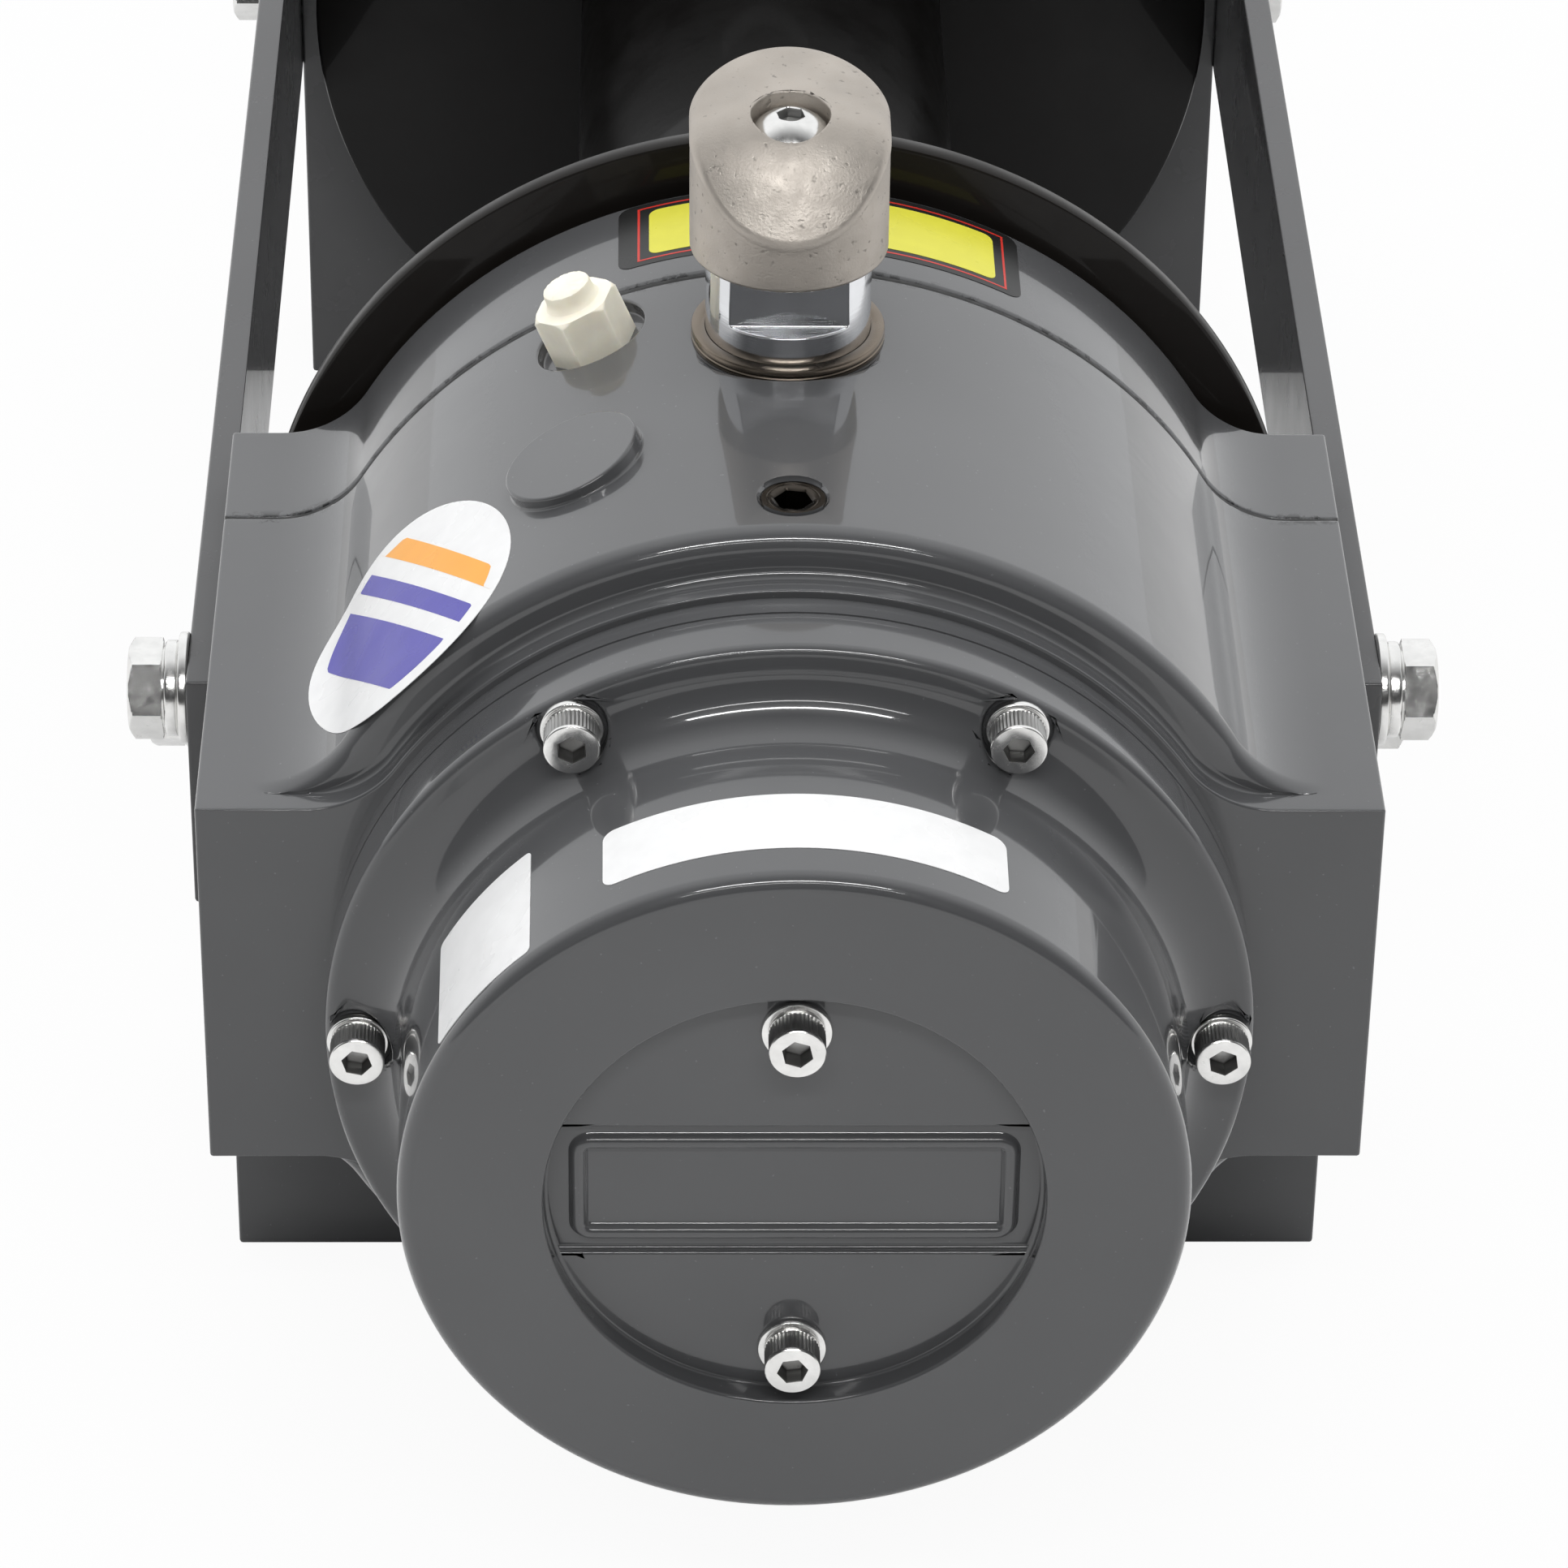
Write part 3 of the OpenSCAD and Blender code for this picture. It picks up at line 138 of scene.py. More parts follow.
# Rail bolts: distance from the front, height about the drum axis and roll in degrees
RAIL_BOLTS = ((95, 23, 30), (152, -18, 12), (540, 23, 47), (560, -18, 21))

# A radius that limits nothing
WIDE = 10000.0


class WinchSizes(bpy.types.PropertyGroup):
    """Sizes that a user would change."""
    edge: FloatProperty(name="Casting edge", description="Rounding of the painted casting edges",
                        default=0.0007, min=0.0, unit="LENGTH", subtype="DISTANCE")
    plate_edge: FloatProperty(name="Plate edge", description="Rounding of the rail and foot edges",
                              default=0.0008, min=0.0, unit="LENGTH", subtype="DISTANCE")
    knob_round: FloatProperty(name="Knob rounding", description="Rounding between top and side of the knob",
                              default=0.004, min=0.0005, unit="LENGTH", subtype="DISTANCE")
    knurls: IntProperty(name="Knurls", description="Grooves round a socket screw head", default=44, min=12)
    label_t: FloatProperty(name="Label thickness", description="Thickness of the vinyl labels",
                           default=0.00014, min=0.00002, unit="LENGTH", subtype="DISTANCE")
    groove: FloatProperty(name="Seam groove", description="Depth of the groove along the castings' seam",
                          default=0.0009, min=0.0002, unit="LENGTH", subtype="DISTANCE")


class WinchColours(bpy.types.PropertyGroup):
    """Colours that a user would change."""
    enamel: FloatVectorProperty(name="Enamel", description="Dark grey paint of the castings",
                                default=(0.080, 0.081, 0.084), size=3, subtype="COLOR")
    plate: FloatVectorProperty(name="Plate paint", description="Paint of the rails and the motor support",
                               default=(0.072, 0.072, 0.074), size=3, subtype="COLOR")
    drum: FloatVectorProperty(name="Drum paint", description="Black paint of the drum",
                              default=(0.003, 0.0026, 0.0024), size=3, subtype="COLOR")
    flange: FloatVectorProperty(name="Flange paint", description="Dusty paint of the near drum flange",
                                default=(0.009, 0.0075, 0.0065), size=3, subtype="COLOR")
    zinc: FloatVectorProperty(name="Zinc", description="Zinc plating of the fasteners",
                              default=(0.82, 0.815, 0.80), size=3, subtype="COLOR")
    knob: FloatVectorProperty(name="Knob", description="Satin metal of the knob",
                              default=(0.55, 0.505, 0.455), size=3, subtype="COLOR")
    nylon: FloatVectorProperty(name="Nylon", description="Off-white breather plug",
                               default=(0.97, 0.91, 0.77), size=3, subtype="COLOR")
    badge: FloatVectorProperty(name="Badge band", description="Broad bands across the oval badge",
                               default=(0.06, 0.05, 0.36), size=3, subtype="COLOR")
    panel: FloatVectorProperty(name="Yellow panel", description="Blank yellow field behind the knob",
                               default=(0.66, 0.63, 0.055), size=3, subtype="COLOR")


def sizes():
    """The sizes set in the sidebar."""
    return bpy.context.scene.winch_sizes


def colours():
    """The colours set in the sidebar."""
    return bpy.context.scene.winch_colours


def at(x, y, z):
    """A point about the drum axis in millimetres, as a point of the shared frame in metres."""
    return Vector((x * MM, FRONT + y * MM, AXIS + z * MM))


# Finishes

class Finish:
    """A material under construction, with short calls for its nodes."""

    def __init__(self, name):
        self.material = bpy.data.materials.new(name)
        self.material.use_nodes = True
        self.tree = self.material.node_tree
        self.shader = self.tree.nodes["Principled BSDF"]
        self.coordinates = self.tree.nodes.new("ShaderNodeTexCoord").outputs["Object"]

    def node(self, kind, **values):
        """A new node with its options set."""
        made = self.tree.nodes.new(kind)
        for key, value in values.items():
            setattr(made, key, value)
        return made

    def link(self, source, target):
        """Joins two sockets."""
        self.tree.links.new(source, target)

    def noise(self, scale, detail=2.0, rough=0.5, stretch=None):
        """Noise on the object's coordinates, stretched along its axes where wanted."""
        made = self.node("ShaderNodeTexNoise")
        made.inputs["Scale"].default_value = scale
        made.inputs["Detail"].default_value = detail
        made.inputs["Roughness"].default_value = rough
        source = self.coordinates
        if stretch:
            mapping = self.node("ShaderNodeMapping")
            mapping.inputs["Scale"].default_value = stretch
            self.link(source, mapping.inputs["Vector"])
            source = mapping.outputs["Vector"]
        self.link(source, made.inputs["Vector"])
        return made.outputs["Fac"]

    def ramp(self, value, low, high, out_low=0.0, out_high=1.0):
        """Maps low to out_low and high to out_high, and stays level beyond them."""
        made = self.node("ShaderNodeMapRange", clamp=True)
        for key, number in (("From Min", low), ("From Max", high), ("To Min", out_low), ("To Max", out_high)):
            made.inputs[key].default_value = number
        self.link(value, made.inputs["Value"])
        return made.outputs["Result"]

    def math(self, operation, a, b=0.0):
        """A maths node on one or two values, each a number or a socket."""
        made = self.node("ShaderNodeMath", operation=operation)
        for socket, value in zip(made.inputs, (a, b)):
            if isinstance(value, (int, float)):
                socket.default_value = value
            else:
                self.link(value, socket)
        return made.outputs[0]

    def mix(self, factor, first, second):
        """A blend of two colours, each a tuple or a socket. The node's sockets are numbered by kind."""
        made = self.node("ShaderNodeMix", data_type="RGBA")
        for socket, value in ((made.inputs[0], factor), (made.inputs[6], first), (made.inputs[7], second)):
            if isinstance(value, float):
                socket.default_value = value
            elif isinstance(value, tuple):
                socket.default_value = (*value, 1.0)
            else:
                self.link(value, socket)
        return made.outputs[2]

    def bumps(self, *layers):
        """Stacks bump layers, each a height, a strength and a distance in metres."""
        normal = None
        for height, strength, distance in layers:
            made = self.node("ShaderNodeBump")
            made.inputs["Strength"].default_value = strength
            made.inputs["Distance"].default_value = distance
            self.link(height, made.inputs["Height"])
            if normal:
                self.link(normal, made.inputs["Normal"])
            normal = made.outputs["Normal"]
        self.link(normal, self.shader.inputs["Normal"])

    def set(self, **values):
        """Sets or links sockets of the shader. A name has an underscore where the socket has a space."""
        for key, value in values.items():
            socket = self.shader.inputs[key.replace("_", " ")]
            if isinstance(value, (int, float)):
                socket.default_value = value
            elif isinstance(value, tuple):
                socket.default_value = (*value, 1.0) if len(value) == 3 and socket.type == "RGBA" else value
            else:
                self.link(value, socket)


def shade(colour, factor):
    """A lighter or darker tone of a colour."""
    return tuple(min(1.0, part * factor) for part in colour)


def gloss_enamel(name, colour, peel=1.0, rough=(0.16, 0.27), coat=1.0, seam=False):
    """Sprayed gloss enamel: slight cloudiness, orange peel and dust under a clear film."""
    made = Finish(name)
    cloud = made.ramp(made.noise(11.0, 3.0), 0.3, 0.7)
    tone = made.mix(cloud, shade(colour, 0.93), shade(colour, 1.07))
    dust = made.ramp(made.noise(900.0, 1.0), 0.76, 0.8)
    tone = made.mix(dust, tone, shade(colour, 1.5))
    if seam:
        separate = made.node("ShaderNodeSeparateXYZ")
        made.link(made.coordinates, separate.inputs[0])
        middle = FRONT + (SEAM_Y + REAR_START_Y) / 2 * MM
        off = made.math("ABSOLUTE", made.math("SUBTRACT", separate.outputs["Y"], middle))
        band = made.ramp(off, 0.0011, 0.0034, 1.0, 0.0)
        chip = made.math("MULTIPLY", band, made.ramp(made.noise(190.0, 5.0, 0.7), 0.5, 0.57))
        tone = made.mix(chip, tone, (0.016, 0.016, 0.017))
    made.set(Base_Color=tone, Roughness=made.ramp(made.noise(60.0, 4.0), 0.3, 0.7, *rough),
             Specular_IOR_Level=0.15, Coat_Weight=coat, Coat_Roughness=0.045, Coat_IOR=1.5, IOR=1.5)
    made.bumps((made.noise(260.0, 1.5), 0.12 * peel, 0.0004), (made.noise(1900.0, 2.0), 0.05 * peel, 0.0002))
    return made.material


def plated_metal(name, colour, rough=(0.2, 0.36), depth=0.08, cloud=0.1):
    """Plated metal with a fine grain and cloudy gloss, darkened and roughened as painted shade where the
    geometry's painted shade value is high.
    """
    made = Finish(name)
    patch = made.ramp(made.noise(140.0, 4.0, 0.6), 0.35, 0.65)
    tone = made.mix(patch, shade(colour, 1.0 - cloud), shade(colour, 1.0 + cloud / 2))
    # Painted shade: screw sockets and knurled sides are marked on the geometry and darkened here
    grime = made.node("ShaderNodeAttribute", attribute_type="GEOMETRY", attribute_name="grime").outputs["Fac"]
    tone = made.mix(grime, tone, shade(colour, 0.12))
    gloss = made.ramp(made.noise(420.0, 4.0, 0.6), 0.3, 0.7, *rough)
    gloss = made.math("ADD", gloss, made.math("MULTIPLY", grime, 0.3))
    made.set(Base_Color=tone, Metallic=1.0, Roughness=gloss)
    made.bumps((made.noise(1400.0, 3.0), depth, 0.0002))
    return made.material


def lathe_metal(name, colour, rough=(0.12, 0.2), along=(0.02, 0.02, 1.0)):
    """Turned metal, with fine lines square to one axis."""
    made = Finish(name)
    line = made.noise(2600.0, 2.0, 0.6, stretch=along)
    patch = made.ramp(made.noise(90.0, 3.0), 0.35, 0.65)
    made.set(Base_Color=made.mix(patch, shade(colour, 0.92), shade(colour, 1.04)), Metallic=1.0,
             Roughness=made.ramp(line, 0.3, 0.7, *rough))
    made.bumps((line, 0.05, 0.0001))
    return made.material


def blasted_metal(name, colour):
    """Satin casting: fine blasted grain, broad soft patches and small pits."""
    made = Finish(name)
    patch = made.ramp(made.noise(75.0, 4.0, 0.6), 0.3, 0.7)
    tone = made.mix(patch, shade(colour, 0.86), shade(colour, 1.08))
    pit = made.ramp(made.noise(520.0, 2.0), 0.66, 0.74)
    tone = made.mix(pit, tone, shade(colour, 0.62))
    made.set(Base_Color=tone, Metallic=1.0, Roughness=made.ramp(made.noise(300.0, 4.0), 0.3, 0.7, 0.44, 0.58))
    grain = made.noise(1500.0, 3.0, 0.6)
    hollow = made.ramp(made.noise(520.0, 2.0), 0.62, 0.74, 1.0, 0.0)
    made.bumps((grain, 0.28, 0.0003), (hollow, 0.3, 0.0002))
    return made.material


def moulded_nylon(name, colour):
    """Moulded nylon, a little see-through at its edges."""
    made = Finish(name)
    patch = made.ramp(made.noise(160.0, 3.0), 0.3, 0.7)
    made.set(Base_Color=made.mix(patch, shade(colour, 0.94), shade(colour, 1.04)), IOR=1.53,
             Roughness=made.ramp(made.noise(500.0, 3.0), 0.3, 0.7, 0.34, 0.5))
    made.set(Subsurface_Weight=0.25, Subsurface_Scale=0.003, Subsurface_Radius=(1.0, 0.8, 0.55))
    made.bumps((made.noise(700.0, 3.0), 0.12, 0.0003))
    return made.material


def soft_rubber(name, colour):
    """Dull rubber with an uneven skin."""
    made = Finish(name)
    patch = made.ramp(made.noise(240.0, 4.0), 0.35, 0.65)
    made.set(Base_Color=made.mix(patch, shade(colour, 0.8), shade(colour, 1.3)),
             Roughness=made.ramp(made.noise(350.0, 3.0), 0.3, 0.7, 0.45, 0.7))
    made.bumps((made.noise(800.0, 4.0, 0.6), 0.35, 0.0004))
    return made.material


def label_vinyl(name, colour):
    """Printed vinyl: even colour with a faint mottle and a smooth film."""
    made = Finish(name)
    patch = made.ramp(made.noise(190.0, 2.0), 0.3, 0.7)
    made.set(Base_Color=made.mix(patch, shade(colour, 0.97), shade(colour, 1.02)), IOR=1.46,
             Roughness=made.ramp(made.noise(60.0, 3.0), 0.3, 0.7, 0.24, 0.34))
    made.bumps((made.noise(420.0, 2.0), 0.06, 0.0002))
    return made.material


FINISHES = {}


def finish(name):
    """One of the winch's finishes. The first call makes them all."""
    if not FINISHES:
        tint = colours()
        FINISHES.update({
            # Enamels: colour, orange peel, low and high roughness, and weight of the clear film
            "casting": gloss_enamel("Casting enamel", tuple(tint.enamel), seam=True),
            "cover": gloss_enamel("Cover enamel", tuple(tint.enamel)),
            "plate": gloss_enamel("Plate enamel", tuple(tint.plate), 0.4, (0.2, 0.3), 0.6),
            "drum": gloss_enamel("Drum enamel", tuple(tint.drum), 1.2, (0.3, 0.45), 0.15),
            "flange": gloss_enamel("Flange enamel", tuple(tint.flange), 1.4, (0.3, 0.48), 0.2),
            "motor": gloss_enamel("Motor enamel", (0.03, 0.031, 0.033), 2.2, (0.32, 0.5), 0.3),
            # Metals: colour, low and high roughness, then the depth of the grain or the way of the lines
            "zinc": plated_metal("Zinc plating", tuple(tint.zinc), (0.16, 0.28), 0.03),
            "plug_steel": plated_metal("Browned steel", (0.06, 0.052, 0.044), (0.16, 0.28), 0.03),
            "black_oxide": plated_metal("Black oxide", (0.05, 0.05, 0.052), (0.3, 0.45)),
            "gear": plated_metal("Gear steel", (0.44, 0.44, 0.46), (0.24, 0.36), cloud=0.06),
            "bronze": plated_metal("Bearing bronze", (0.60, 0.40, 0.17), (0.3, 0.45)),
            "knob": blasted_metal("Satin knob", tuple(tint.knob)),
            "chrome": lathe_metal("Ground shaft", (0.78, 0.79, 0.81), (0.06, 0.13)),
            "bush": lathe_metal("Oiled bush", (0.22, 0.185, 0.15), (0.22, 0.36)),
            "machined": lathe_metal("Machined steel", (0.56, 0.56, 0.58), (0.22, 0.34), (1.0, 0.02, 1.0)),
            "rubber": soft_rubber("Seal rubber", (0.02, 0.02, 0.02)),
            "nylon": moulded_nylon("Off-white nylon", tuple(tint.nylon)),
            "white_vinyl": label_vinyl("White vinyl", (0.765, 0.765, 0.765)),
            "black_vinyl": label_vinyl("Black vinyl", (0.012, 0.012, 0.012)),
            "red_vinyl": label_vinyl("Red vinyl", (0.55, 0.03, 0.02)),
            "yellow_vinyl": label_vinyl("Yellow vinyl", tuple(tint.panel)),
            "blue_vinyl": label_vinyl("Blue vinyl", tuple(tint.badge)),
            "orange_vinyl": label_vinyl("Orange vinyl", (0.85, 0.36, 0.03)),
        })
    return FINISHES[name]


# Meshes

def make_object(name, mesh):
    """An object in the scene for a mesh."""
    obj = bpy.data.objects.new(name, mesh)
    bpy.context.scene.collection.objects.link(obj)
    return obj


def mesh_from(name, points, faces):
    """A mesh from points in metres and faces."""
    mesh = bpy.data.meshes.new(name)
    mesh.from_pydata([tuple(point) for point in points], [], faces)
    mesh.update()
    return mesh


def point_normals_out(mesh):
    """Merges doubles and points every face outwards."""
    work = bmesh.new()
    work.from_mesh(mesh)
    bmesh.ops.remove_doubles(work, verts=work.verts, dist=1e-6)
    bmesh.ops.recalc_face_normals(work, faces=work.faces)
    work.to_mesh(mesh)
    work.free()


def evaluated_mesh(obj):
    """The mesh that an object's modifiers give. The object is removed."""
    graph = bpy.context.evaluated_depsgraph_get()
    graph.update()
    result = obj.evaluated_get(graph)
    mesh = bpy.data.meshes.new_from_object(result, preserve_all_data_layers=True, depsgraph=graph)
    bpy.data.objects.remove(obj)
    return mesh


def cut_away(mesh, cutters, operation="DIFFERENCE"):
    """The mesh less, or joined with, each of the cutter meshes."""
    obj = make_object("blank", mesh)
    tools = []
    for cutter in cutters:
        tool = make_object("tool", cutter)
        tool.hide_render = True
        step = obj.modifiers.new("cut", "BOOLEAN")
        step.operation = operation
        step.solver = "EXACT"
        step.object = tool
        tools.append(tool)
    result = evaluated_mesh(obj)
    for tool in tools:
        bpy.data.objects.remove(tool)
    return result


def round_edges(mesh, width, segments=2, angle=32.0):
    """Rounds the sharp edges and evens out the shading of the flat faces."""
    obj = make_object("blank", mesh)
    bevel = obj.modifiers.new("edges", "BEVEL")
    bevel.width = width
    bevel.segments = segments
    bevel.limit_method = "ANGLE"
    bevel.angle_limit = math.radians(angle)
    bevel.use_clamp_overlap = False
    bevel.miter_outer = "MITER_ARC"
    result = evaluated_mesh(obj)
    result.shade_smooth()
    result.set_sharp_from_angle(angle=math.radians(50))
    obj = make_object("blank", result)
    weight = obj.modifiers.new("shading", "WEIGHTED_NORMAL")
    weight.keep_sharp = True
    weight.weight = 60
    return evaluated_mesh(obj)


def copy_of(*nodes):
    """Copies of CAD nodes as one clean mesh, with their doubles merged and flat faces joined."""
    work = bmesh.new()
    for node in nodes:
        work.from_mesh(frame["nodes"][node].data)
    bmesh.ops.remove_doubles(work, verts=work.verts, dist=2e-6)
    bmesh.ops.dissolve_limit(work, angle_limit=math.radians(0.6), verts=work.verts, edges=work.edges)
    mesh = bpy.data.meshes.new("copy")
    work.to_mesh(mesh)
    work.free()
    return mesh


def finish_piece(name, mesh, body, surface, replaced=()):
    """Puts a finished mesh on a CAD body in place of CAD nodes."""
    mesh.materials.clear()
    mesh.materials.append(finish(surface))
    obj = make_object(name, mesh)
    if replaced:
        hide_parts(*replaced)
    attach(obj, body)
    return obj


def dress(name, nodes, body, surface, width, segments=2):
    """Replaces CAD nodes with a copy that has rounded edges."""
    return finish_piece(name, round_edges(copy_of(*nodes), width, segments), body, surface, nodes)


def loft(rings, closed=False):
    """Joins rings of equal length. A closed loft also joins the last ring to the first."""
    count = len(rings[0])
    points = [point for ring in rings for point in ring]
    faces = []
    for k in range(len(rings) if closed else len(rings) - 1):
        a, b = k * count, (k + 1) % len(rings) * count
        for i in range(count):
            j = (i + 1) % count
            faces.append((a + i, a + j, b + j, b + i))
    return points, faces


def arc(cx, cy, r, start, end, steps):
    """Points on an arc about (cx, cy) between two angles in degrees."""
    turns = [math.radians(start + (end - start) * i / steps) for i in range(steps + 1)]
    return [(cx + r * math.cos(turn), cy + r * math.sin(turn)) for turn in turns]


# Repeated pieces

class Tree:
    """A geometry node tree under construction."""

    def __init__(self, name, inputs):
        self.tree = bpy.data.node_groups.new(name, "GeometryNodeTree")
        face = self.tree.interface
        self.ids = {}
        for label, kind in inputs:
            self.ids[label] = face.new_socket(label, in_out="INPUT", socket_type=kind).identifier
        face.new_socket("Geometry", in_out="OUTPUT", socket_type="NodeSocketGeometry")
        self.start = self.tree.nodes.new("NodeGroupInput")
        self.end = self.tree.nodes.new("NodeGroupOutput")

    def node(self, kind, links=(), **values):
        """A new node with its options set and its inputs set or linked."""
        made = self.tree.nodes.new(kind)
        for key, value in values.items():
            setattr(made, key, value)
        for name, source in dict(links).items():
            socket = made.inputs[name]
            if isinstance(source, (int, float, str)):
                socket.default_value = source
            else:
                self.tree.links.new(source, socket)
        return made

    def math(self, operation, a, b=0.0):
        """A maths node on one or two values, each a number or a socket."""
        return self.node("ShaderNodeMath", {0: a, 1: b}, operation=operation).outputs[0]

    def plus(self, a, b):
        """Adds two values."""
        return self.math("ADD", a, b)

    def less(self, a, b):
        """Takes the second value from the first."""
        return self.math("SUBTRACT", a, b)

    def times(self, a, b):
        """Multiplies two values."""
        return self.math("MULTIPLY", a, b)

    def over(self, a, b):
        """Divides the first value by the second."""
        return self.math("DIVIDE", a, b)

    def value(self, label):
        """One of the tree's named inputs."""
        return self.start.outputs[label]

    def close(self, geometry):
        """Every tree ends in Realize Instances and Set Material."""
        real = self.node("GeometryNodeRealizeInstances", {"Geometry": geometry})
        painted = self.node("GeometryNodeSetMaterial", {"Geometry": real.outputs[0],
                                                        "Material": self.value("Finish")})
        self.tree.links.new(painted.outputs[0], self.end.inputs[0])
        return self


def turned_tree():
    """Turns a profile, given as a line of points, round its Z axis.

    A point's hexagon attribute makes its ring six-sided, limit holds the ring inside a radius,
    knurl cuts grooves into it, and its painted shade value stays on the ring for the finish to darken."""
    tree = Tree("Turned profile", (("Profile", "NodeSocketGeometry"), ("Segments", "NodeSocketInt"),
                                   ("Knurls", "NodeSocketInt"), ("Finish", "NodeSocketMaterial")))
    profile, segments = tree.value("Profile"), tree.value("Segments")
    rows = tree.node("GeometryNodeAttributeDomainSize", {"Geometry": profile}).outputs["Point Count"]
    grid = tree.node("GeometryNodeMeshGrid", {"Size X": 1.0, "Size Y": 1.0, "Vertices Y": rows,
                                              "Vertices X": tree.plus(segments, 1.0)}).outputs["Mesh"]
    index = tree.node("GeometryNodeInputIndex").outputs[0]
    column = tree.math("FLOOR", tree.over(tree.plus(index, 0.5), rows))
    row = tree.less(index, tree.times(column, rows))
    angle = tree.times(tree.over(column, segments), 2 * math.pi)

    def sampled(value, kind):
        """A value of the profile at this row."""
        made = tree.node("GeometryNodeSampleIndex", data_type=kind, domain="POINT")
        tree.tree.links.new(profile, made.inputs["Geometry"])
        tree.tree.links.new(value, made.inputs["Value"])
        tree.tree.links.new(row, made.inputs["Index"])
        return made.outputs["Value"]

    def attribute(name):
        """A named number of the profile at this row."""
        named = tree.node("GeometryNodeInputNamedAttribute", {"Name": name}, data_type="FLOAT")
        return sampled(named.outputs["Attribute"], "FLOAT")

    position = tree.node("GeometryNodeInputPosition").outputs[0]
    place = tree.node("ShaderNodeSeparateXYZ", {0: sampled(position, "FLOAT_VECTOR")})

    # The corners of a hexagon lie further out than the middles of its flats
    flat, half_flat = math.pi / 3, math.pi / 6
    turn = tree.less(tree.math("MODULO", tree.plus(angle, half_flat), flat), half_flat)
    corner = tree.less(tree.over(1.0, tree.math("COSINE", turn)), 1.0)
    radius = tree.times(place.outputs["X"], tree.plus(1.0, tree.times(attribute("hexagon"), corner)))
    radius = tree.math("MINIMUM", radius, attribute("limit"))

    # Knurls are round grooves, one for each half wave
    wave = tree.math("SINE", tree.times(tree.times(angle, 0.5), tree.value("Knurls")))
    radius = tree.less(radius, tree.times(attribute("knurl"), tree.math("ABSOLUTE", wave)))
    spot = tree.node("ShaderNodeCombineXYZ", {"X": tree.times(radius, tree.math("COSINE", angle)),
                                              "Y": tree.times(radius, tree.math("SINE", angle)),
                                              "Z": place.outputs["Z"]}).outputs[0]
    shaped = tree.node("GeometryNodeSetPosition", {"Geometry": grid, "Position": spot}).outputs[0]
    # Stores the profile's painted shade on each ring, for the finish to darken sockets and knurled sides
    painted_shade_stored = tree.node("GeometryNodeStoreNamedAttribute",
                      {"Geometry": shaped, "Name": "grime", "Value": attribute("grime")},
                      data_type="FLOAT", domain="POINT").outputs[0]
    merged = tree.node("GeometryNodeMergeByDistance", {"Geometry": painted_shade_stored, "Distance": 0.000002}).outputs[0]
    return tree.close(merged)


def copies_tree():
    """Puts a copy of a part at each point of the geometry, turned by the point's turn attribute."""
    tree = Tree("Copies at places", (("Places", "NodeSocketGeometry"), ("Part", "NodeSocketObject"),
                                     ("Finish", "NodeSocketMaterial")))
    part = tree.node("GeometryNodeObjectInfo", {"Object": tree.value("Part")}, transform_space="ORIGINAL")
    turn = tree.node("GeometryNodeInputNamedAttribute", {"Name": "turn"}, data_type="FLOAT_VECTOR")
    rotation = tree.node("FunctionNodeEulerToRotation", {0: turn.outputs["Attribute"]}).outputs[0]
    copies = tree.node("GeometryNodeInstanceOnPoints", {"Points": tree.value("Places"),
                                                       "Instance": part.outputs["Geometry"],
                                                       "Rotation": rotation}).outputs[0]
    return tree.close(copies)


TREES = {}


def run_tree(kind, obj, **values):
    """Runs a tree on an object and gives the plain mesh."""
    if kind not in TREES:
        TREES[kind] = turned_tree() if kind == "turned" else copies_tree()
    tree = TREES[kind]
    step = obj.modifiers.new(kind, "NODES")
    step.node_group = tree.tree
    for label, value in values.items():
        step[tree.ids[label]] = value
    return evaluated_mesh(obj)


def turned_mesh(rows, segments, surface, knurls=1):
    """A closed turned shape about Z. Each row is (radius, height) in millimetres, then
    optionally hexagon, knurl depth, limit radius and painted shade."""
    mesh = bpy.data.meshes.new("profile")
    points = [(row[0] * MM, 0.0, row[1] * MM) for row in rows]
    mesh.from_pydata(points, [(i, i + 1) for i in range(len(rows) - 1)], [])
    filled = [tuple(row) + (0.0, 0.0, WIDE, 0.0)[len(row) - 2:] for row in rows]
    # The last column is painted shade, which the zinc finish darkens
    for label, place, scale in (("hexagon", 2, 1.0), ("knurl", 3, MM), ("limit", 4, MM), ("grime", 5, 1.0)):
        layer = mesh.attributes.new(label, "FLOAT", "POINT")
        for i, row in enumerate(filled):
            layer.data[i].value = row[place] * scale
    line = make_object("profile", mesh)
    result = run_tree("turned", line, Segments=segments, Knurls=knurls, Finish=finish(surface))
    point_normals_out(result)
    return result


def copies_mesh(part, places, surface):
    """Copies of a part mesh at places, each a point and an Euler turn."""
    mesh = bpy.data.meshes.new("places")
    mesh.from_pydata([tuple(point) for point, _ in places], [], [])
    layer = mesh.attributes.new("turn", "FLOAT_VECTOR", "POINT")
    for i, (_, turn) in enumerate(places):
        layer.data[i].vector = turn
    source = make_object("part", part)
    source.hide_render = True
    result = run_tree("copies", make_object("places", mesh), Part=source, Finish=finish(surface))
    bpy.data.objects.remove(source)
    return result


def smooth(mesh, angle=30.0):
    """Shades a mesh smooth, except over edges sharper than an angle in degrees."""
    mesh.shade_smooth()
    mesh.set_sharp_from_angle(angle=math.radians(angle))
    return mesh


def along_drum(mesh):
    """Turns a shape made about Z so that its height runs along the drum axis, from the housing's front."""
    mesh.transform(lying(0, 0))
    return mesh


